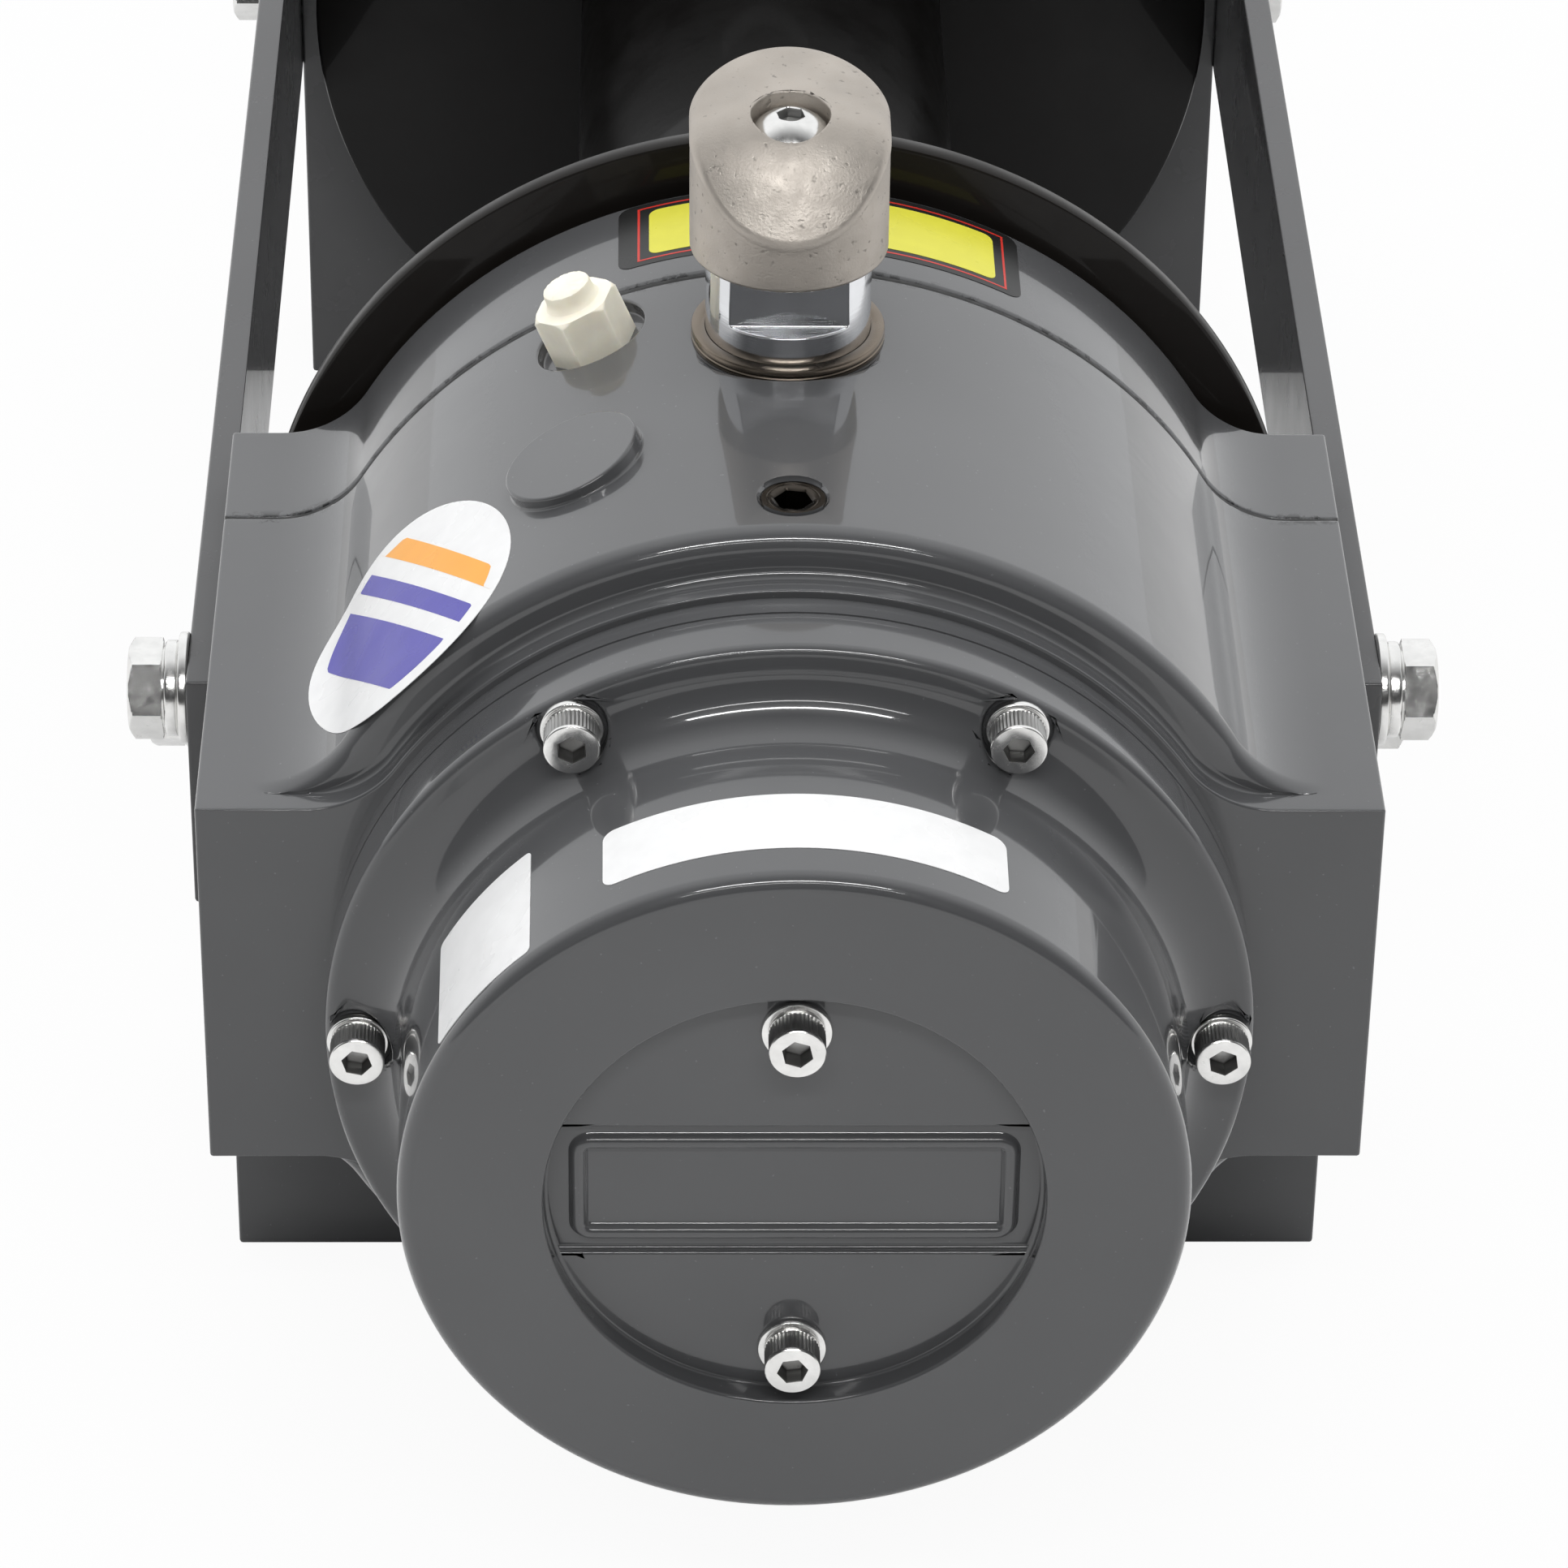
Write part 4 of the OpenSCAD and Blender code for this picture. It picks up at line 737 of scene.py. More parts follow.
def stepped_tool(rows, matrix, steps=72):
    """A stepped round cutter from rows (radius, height) in millimetres, closed at both ends."""
    turns = [2 * math.pi * i / steps for i in range(steps)]
    rings = [[Vector((r * MM * math.cos(a), r * MM * math.sin(a), z * MM)) for a in turns] for r, z in rows]
    points, faces = loft(rings)
    last = (len(rows) - 1) * steps
    faces += [tuple(range(steps))[::-1], tuple(range(last, last + steps))]
    mesh = mesh_from("tool", points, faces)
    mesh.transform(matrix)
    point_normals_out(mesh)
    return mesh


def disc_tool(radius, low, high, matrix, steps=64):
    """A plain round cutter from low to high on Z, in millimetres, moved by a matrix."""
    return stepped_tool([(radius, low), (radius, high)], matrix, steps)


def lying(x, z):
    """Lays a shape made about Z along the drum axis, through a point beside that axis."""
    return Matrix.Translation(at(x, 0, z)) @ Matrix.Rotation(-math.pi / 2, 4, "X")


def upright(angle, y):
    """Stands a shape on the drum axis at y, leaning to one side by an angle in degrees."""
    return Matrix.Translation(at(0, y, 0)) @ Matrix.Rotation(math.radians(angle), 4, "Y")


# Castings

def casting_outline(r):
    """Outline of the housing at body radius r: two ears blended into a round body."""
    cz = EAR_Z + BLEND_R
    cx = math.sqrt((r + BLEND_R) ** 2 - cz ** 2)
    lean = math.degrees(math.atan2(cz, cx))
    quarter = [(EAR_X, EAR_Z * k / 4) for k in range(4)]
    quarter += [(EAR_X + (cx - EAR_X) * k / 4, EAR_Z) for k in range(4)]
    quarter += arc(cx, cz, BLEND_R, -90, -180 + lean, 20)
    quarter += arc(0, 0, r, lean, 90, 34)[1:]
    half = quarter + [(-x, z) for x, z in reversed(quarter[:-1])]
    return half + [(x, -z) for x, z in reversed(half[1:-1])]


def casting_mesh(stations, bores):
    """A casting from outer stations (y, radius) and inner ones (y, bore radius), front to back."""
    rings = [[at(x, y, z) for x, z in casting_outline(r)] for y, r in stations]
    angles = [math.atan2(z, x) for x, z in casting_outline(BODY_R)]
    rings += [[at(r * math.cos(a), y, r * math.sin(a)) for a in angles] for y, r in reversed(bores)]
    mesh = mesh_from("casting", *loft(rings, closed=True))
    point_normals_out(mesh)
    return mesh


def seam_rows(edge_y, away):
    """The two stations where a casting meets the seam. away points into the casting."""
    groove = sizes().groove / MM
    return [(edge_y + away * groove * 1.1, BODY_R), (edge_y, BODY_R - groove)]


def build_front_casting():
    """The front casting: a lip in front, the bore of the ring gear, a plain boss and three holes on top."""
    lip, hollow, shoulder = 3.5, 3.0, 5.0
    rows = [(0.0, LIP_R), (lip, LIP_R)]
    rows += [(y, r) for r, y in arc(LIP_R + hollow, lip, hollow, 180, 90, 5)[1:]]
    rows += [(y, r) for r, y in arc(BODY_R - shoulder, lip + hollow + shoulder, shoulder, -90, 0, 8)]
    rows += [(y, BODY_R) for y in range(20, 117, 12)] + seam_rows(SEAM_Y, -1)
    body = casting_mesh(rows, [(0, FIRST_BORE_R), (RING_SEAT_Y, FIRST_BORE_R),
                               (RING_SEAT_Y, RING_BORE_R), (SEAM_Y, RING_BORE_R)])
    body = cut_away(body, [disc_tool(17, 114, 125.8, upright(*PLAIN_BOSS))], "UNION")

    # Holes as rows of radius and height over the drum axis, from the bore to above the casting
    shaft_rows = [(20.3, 95), (20.3, 111), (22.05, 111), (22.05, 121), (24.6, 121), (24.6, 140)]
    level_rows = [(7.9, 100), (7.9, 122.3), (8.3, 122.8), (8.3, 130)]
    breather_rows = [(8.05, 95), (8.05, 119), (14, 119), (14, 140)]
    body = cut_away(body, [
        stepped_tool(shaft_rows, Matrix.Translation(at(0, CLUTCH_Y, 0))),
        stepped_tool(level_rows, upright(*LEVEL_PLUG)),
        stepped_tool(breather_rows, upright(*BREATHER)),
    ])
    body = round_edges(body, sizes().edge, 3)
    finish_piece("gear_housing_casting", body, "frame", "casting", ["gear_housing"])


def build_rear_casting():
    """The rear casting: its end wall holds the drum's bearing and seal, with wells for the joining screws."""
    wall_y, seal_y, screw_circle = 137.5, 164, 113
    rows = seam_rows(REAR_START_Y, 1)[::-1] + [(y, BODY_R) for y in (138, 150, 162, REAR_Y)]
    body = casting_mesh(rows, [(REAR_START_Y, RING_BORE_R), (wall_y, RING_BORE_R), (wall_y, BEARING_R),
                               (seal_y, BEARING_R), (seal_y, SEAL_R), (REAR_Y, SEAL_R)])
    wells = []
    for angle in (0, 45, 135, 180, 225, 315):
        turn = math.radians(angle)
        spot = lying(screw_circle * math.cos(turn), screw_circle * math.sin(turn))
        wells.append(disc_tool(7, 163, 180, spot, 40))
    body = round_edges(cut_away(body, wells), sizes().edge, 3)
    finish_piece("drum_side_casting", body, "frame", "casting", ["drum_side_housing"])


def build_seam_bead():
    """Sealant that fills the groove of the seam, a little unevenly."""
    outline = casting_outline(BODY_R)
    rings = []
    bead_rows = ((129.2, -0.9), (129.6, -0.45), (130.1, -0.32), (130.7, -0.32), (131.2, -0.45), (131.6, -0.9))
    for y, out in bead_rows:
        ring = []
        for i, (x, z) in enumerate(outline):
            before_x, before_z = outline[i - 1]
            after_x, after_z = outline[(i + 1) % len(outline)]
            normal = Vector((after_z - before_z, 0, before_x - after_x)).normalized()
            grow = out + 0.09 * math.sin(i * 0.37) * math.sin(i * 0.151 + 1.3)
            ring.append(at(x + normal.x * grow, y, z + normal.z * grow))
        rings.append(ring)

    # The bead's inner side lies just outside the bore of the ring gear
    inner_r = 104
    turns = [math.atan2(z, x) for x, z in outline]
    rings += [[at(inner_r * math.cos(a), y, inner_r * math.sin(a)) for a in turns] for y in (131.0, 129.8)]
    mesh = mesh_from("bead", *loft(rings, closed=True))
    point_normals_out(mesh)
    finish_piece("housing_seam_bead", smooth(mesh, 40), "frame", "rubber", ["housing_gasket"])


# Gear cover

def cover_profile():
    """Half section of the gear cover: radius and distance behind the housing's front face."""
    nose, fillet, edge = 4.0, 14.0, 2.5
    rim_y, rear_y = RIM_Y - 0.3, span("gear_cover", Y)[1]
    inner_r, inner_y = 80, -71
    rows = [(0, COVER_FACE_Y), (52, COVER_FACE_Y), (RECESS_R, COVER_FACE_Y)]
    rows += [(RECESS_R, COVER_FRONT_Y), (71, COVER_FRONT_Y)]
    rows += arc(COVER_R - nose, COVER_FRONT_Y + nose, nose, -90, -2, 8)
    rows += arc(COVER_REAR_R + fillet, rim_y - fillet, fillet, 180, 90, 14)
    rows += arc(RIM_R - edge, rim_y + edge, edge, -90, 0, 6)
    return rows + [(RIM_R, -12), (RIM_R, rear_y), (inner_r, rear_y), (inner_r, inner_y), (0, inner_y)]


def screw_ring():
    """The places of the six rim screws about the drum axis."""
    turns = [math.radians(60 * k) for k in range(6)]
    return [(COVER_SCREW_CIRCLE * math.cos(turn), COVER_SCREW_CIRCLE * math.sin(turn)) for turn in turns]


def band_tool():
    """A cutter that sinks a level band across the recess of the cover."""
    half_high, r = 18, 57.45
    side = math.degrees(math.asin(half_high / RECESS_R))
    outline = arc(0, 0, r, -side, side, 10) + arc(0, 0, r, 180 - side, 180 + side, 10)
    count = len(outline)
    points, faces = loft([[at(x, y, z) for x, z in outline] for y in (-85, BAND_Y)])
    faces += [tuple(range(count))[::-1], tuple(range(count, 2 * count))]
    mesh = mesh_from("tool", points, faces)
    point_normals_out(mesh)
    return mesh


def raised_frame():
    """The raised frame on the band, swept round a rectangle with round corners."""
    half_wide, half_high, corner = 46.5, 10, 3
    section = [(-2.6, 0.25), (-2.1, -0.1), (-1.75, -0.6), (-1.45, -1.3), (-1.0, -1.75), (-0.4, -1.95)]
    section += [(-out, up) for out, up in reversed(section)]
    path = []
    for side, level, start in ((1, 1, 0), (-1, 1, 90), (-1, -1, 180), (1, -1, 270)):
        for k in range(9):
            turn = math.radians(start + 90 * k / 8)
            path.append((side * half_wide, level * half_high, math.cos(turn), math.sin(turn)))
    rings = []
    for out, up in section:
        r = corner + out
        rings.append([at(x + r * dx, BAND_Y + up, z + r * dz) for x, z, dx, dz in path])
    return smooth(mesh_from("ridge", *loft(rings)), 60)


def build_cover():
    """The gear cover: a turned shape with wells for its screws and a raised frame on its face."""
    mesh = along_drum(turned_mesh(cover_profile(), 192, "cover"))
    tools = [disc_tool(COVER_WELL_R, -40, RIM_Y, lying(x, z), 48) for x, z in screw_ring()]
    tools.append(band_tool())
    mesh = round_edges(cut_away(mesh, tools), COVER_EDGE, 3)
    work = bmesh.new()
    work.from_mesh(mesh)
    work.from_mesh(raised_frame())
    mesh = bpy.data.meshes.new("cover")
    work.to_mesh(mesh)
    work.free()
    finish_piece("gear_cover_casting", mesh, "frame", "cover", ["gear_cover"])


# Clutch

def knob_top(x, y):
    """Height of the knob's top: a level crown and a steep crowned front, blended where they meet."""
    drop = KNOB_CROWN_R - math.sqrt(KNOB_CROWN_R ** 2 - x * x)
    lean = math.radians(KNOB_SLOPE)
    level = KNOB_H - drop
    front = KNOB_FRONT_H + math.tan(lean) * (y + KNOB_R) - drop / math.cos(lean)
    near = max(0.0, KNOB_BLEND - abs(level - front)) / KNOB_BLEND
    return min(level, front) - near * near * KNOB_BLEND / 4


def knob_rise(turn, reach, r):
    """Height of the knob's top at a radius r and an angle about a point on its long axis."""
    return knob_top(r * math.cos(turn), reach + r * math.sin(turn))


def knob_grade(turn, reach, r):
    """How steeply the knob's top rises outwards there."""
    step = 0.01
    return (knob_rise(turn, reach, r + step) - knob_rise(turn, reach, r - step)) / (2 * step)


def knob_column(turn, reach):
    """One line of the knob's skin as (radius, height): up the wall, over the edge, then to the middle."""
    soft, inset, foot = sizes().knob_round / MM, 0.18, 1.0

    # Where the rounding meets the top depends on how steep the top is there, so it is found in steps
    edge = KNOB_R - soft
    for _ in range(30):
        grade = knob_grade(turn, reach, edge)
        edge = KNOB_R - soft - soft * grade / math.sqrt(1 + grade * grade)
    grade = knob_grade(turn, reach, edge)
    middle = knob_rise(turn, reach, edge) - soft / math.sqrt(1 + grade * grade)
    parting = middle - 0.9
    wall = KNOB_R - inset
    column = [(0.0, 0.0)] + arc(wall - foot, foot, foot, -90, 0, 3)
    column += [(wall, foot + (parting - 0.3 - foot) * k / 4) for k in range(1, 5)] + [(KNOB_R, parting)]
    column += arc(KNOB_R - soft, middle, soft, 0, 90 + math.degrees(math.atan(grade)), 8)
    return column + [(edge * k / 18, knob_rise(turn, reach, edge * k / 18)) for k in range(17, -1, -1)]


def build_knob():
    """The knob: a long post with a soft edge round its top and a fine parting line below the edge."""
    around, along = 56, 8
    lines = [(math.pi + math.pi * k / around, 0.0) for k in range(around)]
    lines += [(0.0, KNOB_REACH * k / along) for k in range(along)]
    lines += [(math.pi * k / around, KNOB_REACH) for k in range(around)]
    lines += [(math.pi, KNOB_REACH * (1 - k / along)) for k in range(along)]
    columns = []
    for turn, reach in lines:
        column = knob_column(turn, reach)
        columns.append([at(r * math.cos(turn), CLUTCH_Y + reach + r * math.sin(turn), KNOB_Z + z)
                        for r, z in column])
    rings = [[column[k] for column in columns] for k in range(len(columns[0]))]
    mesh = mesh_from("knob", *loft(rings))
    point_normals_out(mesh)
    well = stepped_tool([(9.5, KNOB_SEAT), (9.5, 60)], Matrix.Translation(at(0, CLUTCH_Y, KNOB_Z)), 64)
    mesh = round_edges(cut_away(mesh, [well]), KNOB_EDGE, 3, 40)
    finish_piece("clutch_knob_casting", mesh, "clutch_handle", "knob", ["clutch_knob"])


def build_knob_screw():
    """The button head screw sunk in the top of the knob."""
    dome_r, dome_top = 11.39, 5.5
    # The sixth number of a row is painted shade in the socket of the screw
    rows = [(0, 2.2, 0.0, 0.0, WIDE, 0.2), (2.4, 2.5, 1.0, 0.0, WIDE, 0.3), (3.0, 2.5, 1.0, 0.0, WIDE, 0.8),
            (3.0, 4.5, 1.0, 0.0, WIDE, 0.4), (3.1, 4.75, 1.0), (3.62, 4.9)]
    for r in (3.9, 4.6, 5.3, 6.0, 6.7, 7.4, 8.0, 8.5, 8.72):
        rows.append((r, dome_top - dome_r + math.sqrt(dome_r ** 2 - r * r)))
    rows += [(8.75, 1.2), (8.75, 0.35), (8.5, 0), (5, 0), (4.99, -40), (0, -40)]
    mesh = smooth(turned_mesh(rows, 96, "zinc"), 30)
    seat = Matrix.Translation(at(0, CLUTCH_Y, KNOB_Z + KNOB_SEAT))
    mesh.transform(seat @ Matrix.Rotation(math.radians(12), 4, "Z"))
    finish_piece("knob_screw_head", mesh, "clutch_handle", "zinc", ["clutch_screw"])


def build_clutch():
    """The ground shaft and the turned bush round it."""
    dress("clutch_shaft_ground", ["clutch_shaft"], "clutch_handle", "chrome", SHAFT_EDGE, 3)
    rows = [(20.05, -10), (22.0, -10), (22.0, 0), (23.2, 0), (23.4, 0.2), (23.4, 1.15), (23.15, 1.4),
            (23.15, 1.65), (23.4, 1.85), (23.4, 3.0), (23.2, 3.35), (22.8, 3.5), (20.6, 3.5), (20.1, 3.2),
            (20.05, 3.0), (20.05, -10)]
    mesh = turned_mesh(rows, 128, "bush")
    mesh.transform(Matrix.Translation(at(0, CLUTCH_Y, 121)))
    finish_piece("clutch_bush_turned", smooth(mesh, 32), "frame", "bush", ["clutch_bush"])


# Screws and bolts

def socket_head(size, length):
    """A socket head screw about Z, seated at z = 0 with its head above. Sizes in millimetres."""
    r, h, flats = size
    floor, half = h - h * 0.55, flats / 2
    knurls = sizes().knurls
    # The sixth number of a row is painted shade: darkest in the socket, lighter along the knurled side
    rows = [(0, floor - 0.4, 0.0, 0.0, WIDE, 0.25), (half * 0.8, floor, 1.0, 0.0, WIDE, 0.35),
            (half, floor, 1.0, 0.0, WIDE, 0.9), (half, h - 0.4, 1.0, 0.0, WIDE, 0.5), (half + 0.2, h, 1.0),
            (r - 0.6, h), (r - 0.25, h - 0.1), (r - 0.06, h - 0.3), (r, h - 0.6), (r, h - 0.95),
            (r, h - 1.1, 0.0, 0.3, WIDE, 0.55), (r, 0.9, 0.0, 0.3, WIDE, 0.55), (r, 0.75), (r, 0.3),
            (r - 0.3, 0), (r * 0.62, 0), (r * 0.615, -length), (0, -length)]
    return smooth(turned_mesh(rows, knurls * 4, "zinc", knurls), 30)


def washer(inner, outer, thick, split=0.0):
    """A washer about Z on z = 0 with soft edges, in millimetres. A split one is cut through at a slant."""
    soft = thick * 0.22
    rows = []
    for r, z, start in ((outer - soft, soft, -90), (outer - soft, thick - soft, 0),
                        (inner + soft, thick - soft, 90), (inner + soft, soft, 180)):
        rows += arc(r, z, soft, start, start + 90, 3)
    mesh = turned_mesh(rows + rows[:1], 96, "zinc")
    if split:
        lean = thick * 0.6
        rings = []
        for middle, z in ((-lean, -1.0), (lean, thick + 1.0)):
            corners = ((middle - split, inner - 2), (middle + split, inner - 2),
                       (middle + split, outer + 2), (middle - split, outer + 2))
            rings.append([Vector((x * MM, -y * MM, z * MM)) for x, y in corners])
        points, faces = loft(rings)
        tool = mesh_from("tool", points, faces + [(3, 2, 1, 0), (4, 5, 6, 7)])
        point_normals_out(tool)
        mesh = cut_away(mesh, [tool])
    return smooth(mesh, 32)


def hex_head(flats, height, shank, length):
    """A hexagon bolt about Z, seated at z = 0 with its head above. Sizes in millimetres."""
    half = flats / 2
    rows = [(0, height), (half * 0.93, height)]
    for k in range(9):
        z = height - 0.17 * k
        rows.append((half, z, 1.0, 0.0, half * 0.955 + (height - z) * 1.62))
    rows += [(half, 0.7, 1.0), (half, 0.55, 1.0, 0.0, half * 1.1), (half * 0.95, 0.5), (half * 0.95, 0)]
    rows += [(shank, 0), (shank, -length), (0, -length)]
    return smooth(turned_mesh(rows, 96, "zinc"), 26)


def facing(axis, roll=0.0):
    """Euler turn that points a screw's head along an axis, with a roll about it in degrees."""
    turn = Vector(axis).to_track_quat("Z", "Y") @ Euler((0, 0, math.radians(roll))).to_quaternion()
    return tuple(turn.to_euler())


def place_zinc(name, part, places, node):
    """Puts copies of a plated part at places, for one CAD node."""
    finish_piece(name, copies_mesh(part, places, "zinc"), "frame", "zinc", [node])


def build_cover_screws():
    """The six screws of the cover's rim and the two in its face, with their washers."""
    front, ring = (0, -1, 0), screw_ring()
    seat, under = span("cover_spring_washers", Y)
    places = [(at(x, seat, z), facing(front, roll)) for (x, z), roll in zip(ring, (8, 25, 3, 17, 40, 52))]
    place_zinc("cover_flange_screws", socket_head(M8_HEAD, 20), places, "cover_screws")
    places = [(at(x, under, z), facing(front)) for x, z in ring]
    place_zinc("cover_lock_washers", washer(4.25, 7.4, under - seat, 0.5), places, "cover_spring_washers")

    pair = ((45.5, 12), (-45.5, 38))
    seat, under = span("front_washers", Y)
    places = [(at(0, seat, z), facing(front, roll)) for z, roll in pair]
    place_zinc("cover_face_screws", socket_head(M8_HEAD, 12), places, "front_screws")
    places = [(at(0, under, z), facing(front)) for z, _ in pair]
    place_zinc("cover_face_washers", washer(4.25, 8.0, under - seat), places, "front_washers")


def build_rail_bolts():
    """The eight hexagon bolts of the rails on their spring and flat washers."""
    rail = span("right_rail", X)[1]
    flat = span("rail_flat_washers", X)[1]
    spring = span("rail_spring_washers", X)[1]
    for name, node, x, rolled, part in (
        ("rail_bolt_set", "rail_bolts", spring, 1, hex_head(22, 9, 7, 30)),
        ("rail_lock_washers", "rail_spring_washers", flat, 0, washer(7.1, 12.0, spring - flat, 0.9)),
        ("rail_plain_washers", "rail_flat_washers", rail, 0, washer(7.3, 14.0, flat - rail)),
    ):
        places = [(at(side * x, y, z), facing((side, 0, 0), rolled * roll))
                  for side in (-1, 1) for y, z, roll in RAIL_BOLTS]
        place_zinc(name, part, places, node)


def four_places(node, head_r, seat_y, roll):
    """The four places of a node's screws, from its box and the radius of their heads."""
    (left, right), (low, high) = span(node, X), span(node, Z)
    spots = [(x, z) for z in (high - head_r, low + head_r) for x in (left + head_r, right - head_r)]
    return [(at(x, seat_y, z), facing((0, 1, 0), roll * k)) for k, (x, z) in enumerate(spots)]


def build_motor_screws():
    """The long screws of the motor, those of its flange and those of the valve block."""
    places = four_places("motor_through_bolts", M10_HEAD[0], span("motor_rear_cover", Y)[1], 9)
    place_zinc("motor_long_screws", socket_head(M10_HEAD, 20), places, "motor_through_bolts")
    places = four_places("motor_mount_bolts", M12_HEAD[0], span("motor_front_cover", Y)[1], 14)
    place_zinc("motor_flange_screws", socket_head(M12_HEAD, 20), places, "motor_mount_bolts")
    middle, top = sum(span("valve_block", Y)) / 2, span("valve_block", Z)[1]
    places = [(at(0, middle + side * 14.5, top), facing((0, 0, 1), 20 + 15 * side)) for side in (-1, 1)]
    place_zinc("valve_block_screw_set", socket_head(M8_HEAD, 20), places, "valve_block_screws")


# Plugs

def screwed_in(place, seat, roll):
    """Stands a plug on its seat over the drum axis, rolled by an angle in degrees."""
    lift = Matrix.Translation((0, 0, seat * MM))
    return upright(*place) @ lift @ Matrix.Rotation(math.radians(roll), 4, "Z")


def build_level_plug():
    """The black plug near the front, flush with the casting."""
    # The sixth number of a row is painted shade in the socket of the plug
    rows = [(0, -5.5, 0.0, 0.0, WIDE, 1.0), (3.4, -5.2, 1.0, 0.0, WIDE, 1.0),
            (4.0, -5.2, 1.0, 0.0, WIDE, 1.0), (4.0, -0.6, 1.0, 0.0, WIDE, 0.6), (4.9, -0.15), (5.7, 0),
            (5.9, -0.2), (6.15, -0.2), (6.35, 0), (7.4, 0), (7.75, -0.35), (7.85, -9), (0, -9)]
    mesh = turned_mesh(rows, 96, "plug_steel")
    mesh.transform(screwed_in(LEVEL_PLUG, 122.5, 20))
    finish_piece("level_plug_black", smooth(mesh, 30), "frame", "plug_steel", ["level_plug"])


def build_breather():
    """The breather plug: a hexagon with a wide moulded stub whose end is rough."""
    half, tall = 9.5, 13.9
    rows = [(0, 0), (half, 0, 1.0), (half, tall - 1.1, 1.0)]
    rows += [(half, tall - 1.1 + 0.22 * k, 1.0, 0.0, half * 1.155 - 0.22 * k) for k in range(1, 6)]
    stub = [(7.6, 0.1), (6.9, 0.4), (6.35, 1.3), (6.1, 2.6), (6.1, 3.9), (5.9, 4.7), (5.0, 5.2), (3.6, 5.3),
            (1.8, 5.25), (0, 5.25)]
    rows += [(r, tall + z) for r, z in stub]
    mesh = turned_mesh(rows, 96, "nylon")
    for vert in mesh.vertices:
        # Only the end of the stub is rough
        if vert.co.z > (tall + 4.2) * MM:
            ripple = math.sin(vert.co.x * 2100 + 1.0) * math.sin(vert.co.y * 1700)
            vert.co.z += (0.11 * ripple - 0.06 + 0.05 * math.sin(vert.co.x * 4100 - vert.co.y * 3300)) * MM
    mesh.transform(screwed_in(BREATHER, 119, 44))
    mesh = smooth(mesh, 30)
    finish_piece("breather_plug_nylon", mesh, "frame", "nylon", ["breather_plug"])


# Drum

def flange_profile(start):
    """Half section of a drum flange with soft edges, from its first face on."""
    end, r = start + FLANGE_T, FLANGE_R
    return [(BARREL_R, start), (r - 1.2, start), (r - 0.4, start + 0.3), (r, start + 1), (r, end - 1),
            (r - 0.4, end - 0.3), (r - 1.2, end), (BARREL_R, end), (BARREL_R, start)]


def build_drum():
    """The drum's two flanges and its barrel."""
    for name, node, start, surface in (
        ("drum_flange_near", "drum_flange_gear_end", FLANGE_NEAR_Y, "flange"),
        ("drum_flange_far", "drum_flange_motor_end", FLANGE_FAR_Y, "drum"),
    ):
        mesh = along_drum(turned_mesh(flange_profile(start), 192, surface))
        finish_piece(name, smooth(mesh, 32), "drum", surface, [node])
    dress("drum_barrel_painted", ["drum_barrel"], "drum", "drum", BARREL_EDGE)


# Plates, foot and motor

def build_plates():
    """The rails, the plate at the motor end and the foot under the housing."""
    edge = sizes().plate_edge
    for node in ("left_rail", "right_rail"):
        dress(node + "_bar", [node], "frame", "plate", edge)
    dress("motor_support_plate", ["motor_support"], "frame", "plate", edge)
    dress("housing_foot_block", ["housing_foot"], "frame", "cover", edge)


def build_motor():
    """The motor's three housings, the valve block and its cartridges."""
    for node in ("motor_front_cover", "motor_body", "motor_rear_cover", "valve_block"):
        dress(node + "_iron", [node], "frame", "motor", IRON_EDGE, 3)
    dress("valve_cartridge_set", ["valve_cartridges"], "frame", "zinc", CARTRIDGE_EDGE)


def coat_inner_parts():
    """Gives the CAD nodes that stay their finishes."""
    table = {
        "cover": ["first_ring_gear"],
        "gear": ["second_ring_gear", "first_sun", "second_sun", "motor_drive_gear", "motor_idler_gear",
                 "first_planet_1", "first_planet_2", "first_planet_3",
                 "second_planet_1", "second_planet_2", "second_planet_3"],
        "machined": ["first_carrier", "second_carrier", "first_planet_pins", "second_planet_pins",
                     "drive_shaft", "shaft_coupling", "clutch_dog"],
        "bronze": ["thrust_plate", "drum_bushes", "motor_bearing_blocks"],
        "rubber": ["drum_seals", "motor_shaft_seal"],
        "black_oxide": ["housing_screws", "foot_screws"],
    }
    for surface, nodes in table.items():
        for node in nodes:
            obj = frame["nodes"][node]
            if not obj.material_slots:
                obj.data.materials.append(finish(surface))
            for slot in obj.material_slots:
                slot.material = finish(surface)


# Labels

def on_cover(s, y, lift):
    """A point on the wall of the cover: s is the way round from the top in millimetres, to the right."""
    share = (y - COVER_WALL_FRONT_Y) / (COVER_WALL_REAR_Y - COVER_WALL_FRONT_Y)
    r = COVER_R + (COVER_REAR_R - COVER_R) * share + lift
    return at(r * math.sin(s / COVER_REAR_R), y, r * math.cos(s / COVER_REAR_R))


def casting_path():
    """Points of the casting outline from the top to the right ear, each with its way from the top first."""
    outline = casting_outline(BODY_R)
    top = max(range(len(outline)), key=lambda i: outline[i][1])
    path, way = [], 0.0
    for i in range(top, -1, -1):
        if path:
            way += math.dist(outline[i], outline[i + 1])
        path.append((way, *outline[i]))
    return path


def on_casting(s, y, lift):
    """A point on the outside of a casting: s is the way round from the top in millimetres, to the right."""
    path = casting_path()
    i = next(k for k in range(1, len(path)) if path[k][0] >= abs(s))
    (s0, x0, z0), (s1, x1, z1) = path[i - 1], path[i]
    share = (abs(s) - s0) / (s1 - s0)
    across = Vector((z0 - z1, x1 - x0)).normalized() * lift
    x, z = x0 + (x1 - x0) * share + across.x, z0 + (z1 - z0) * share + across.y
    return at(math.copysign(x, s) if s else x, y, z)


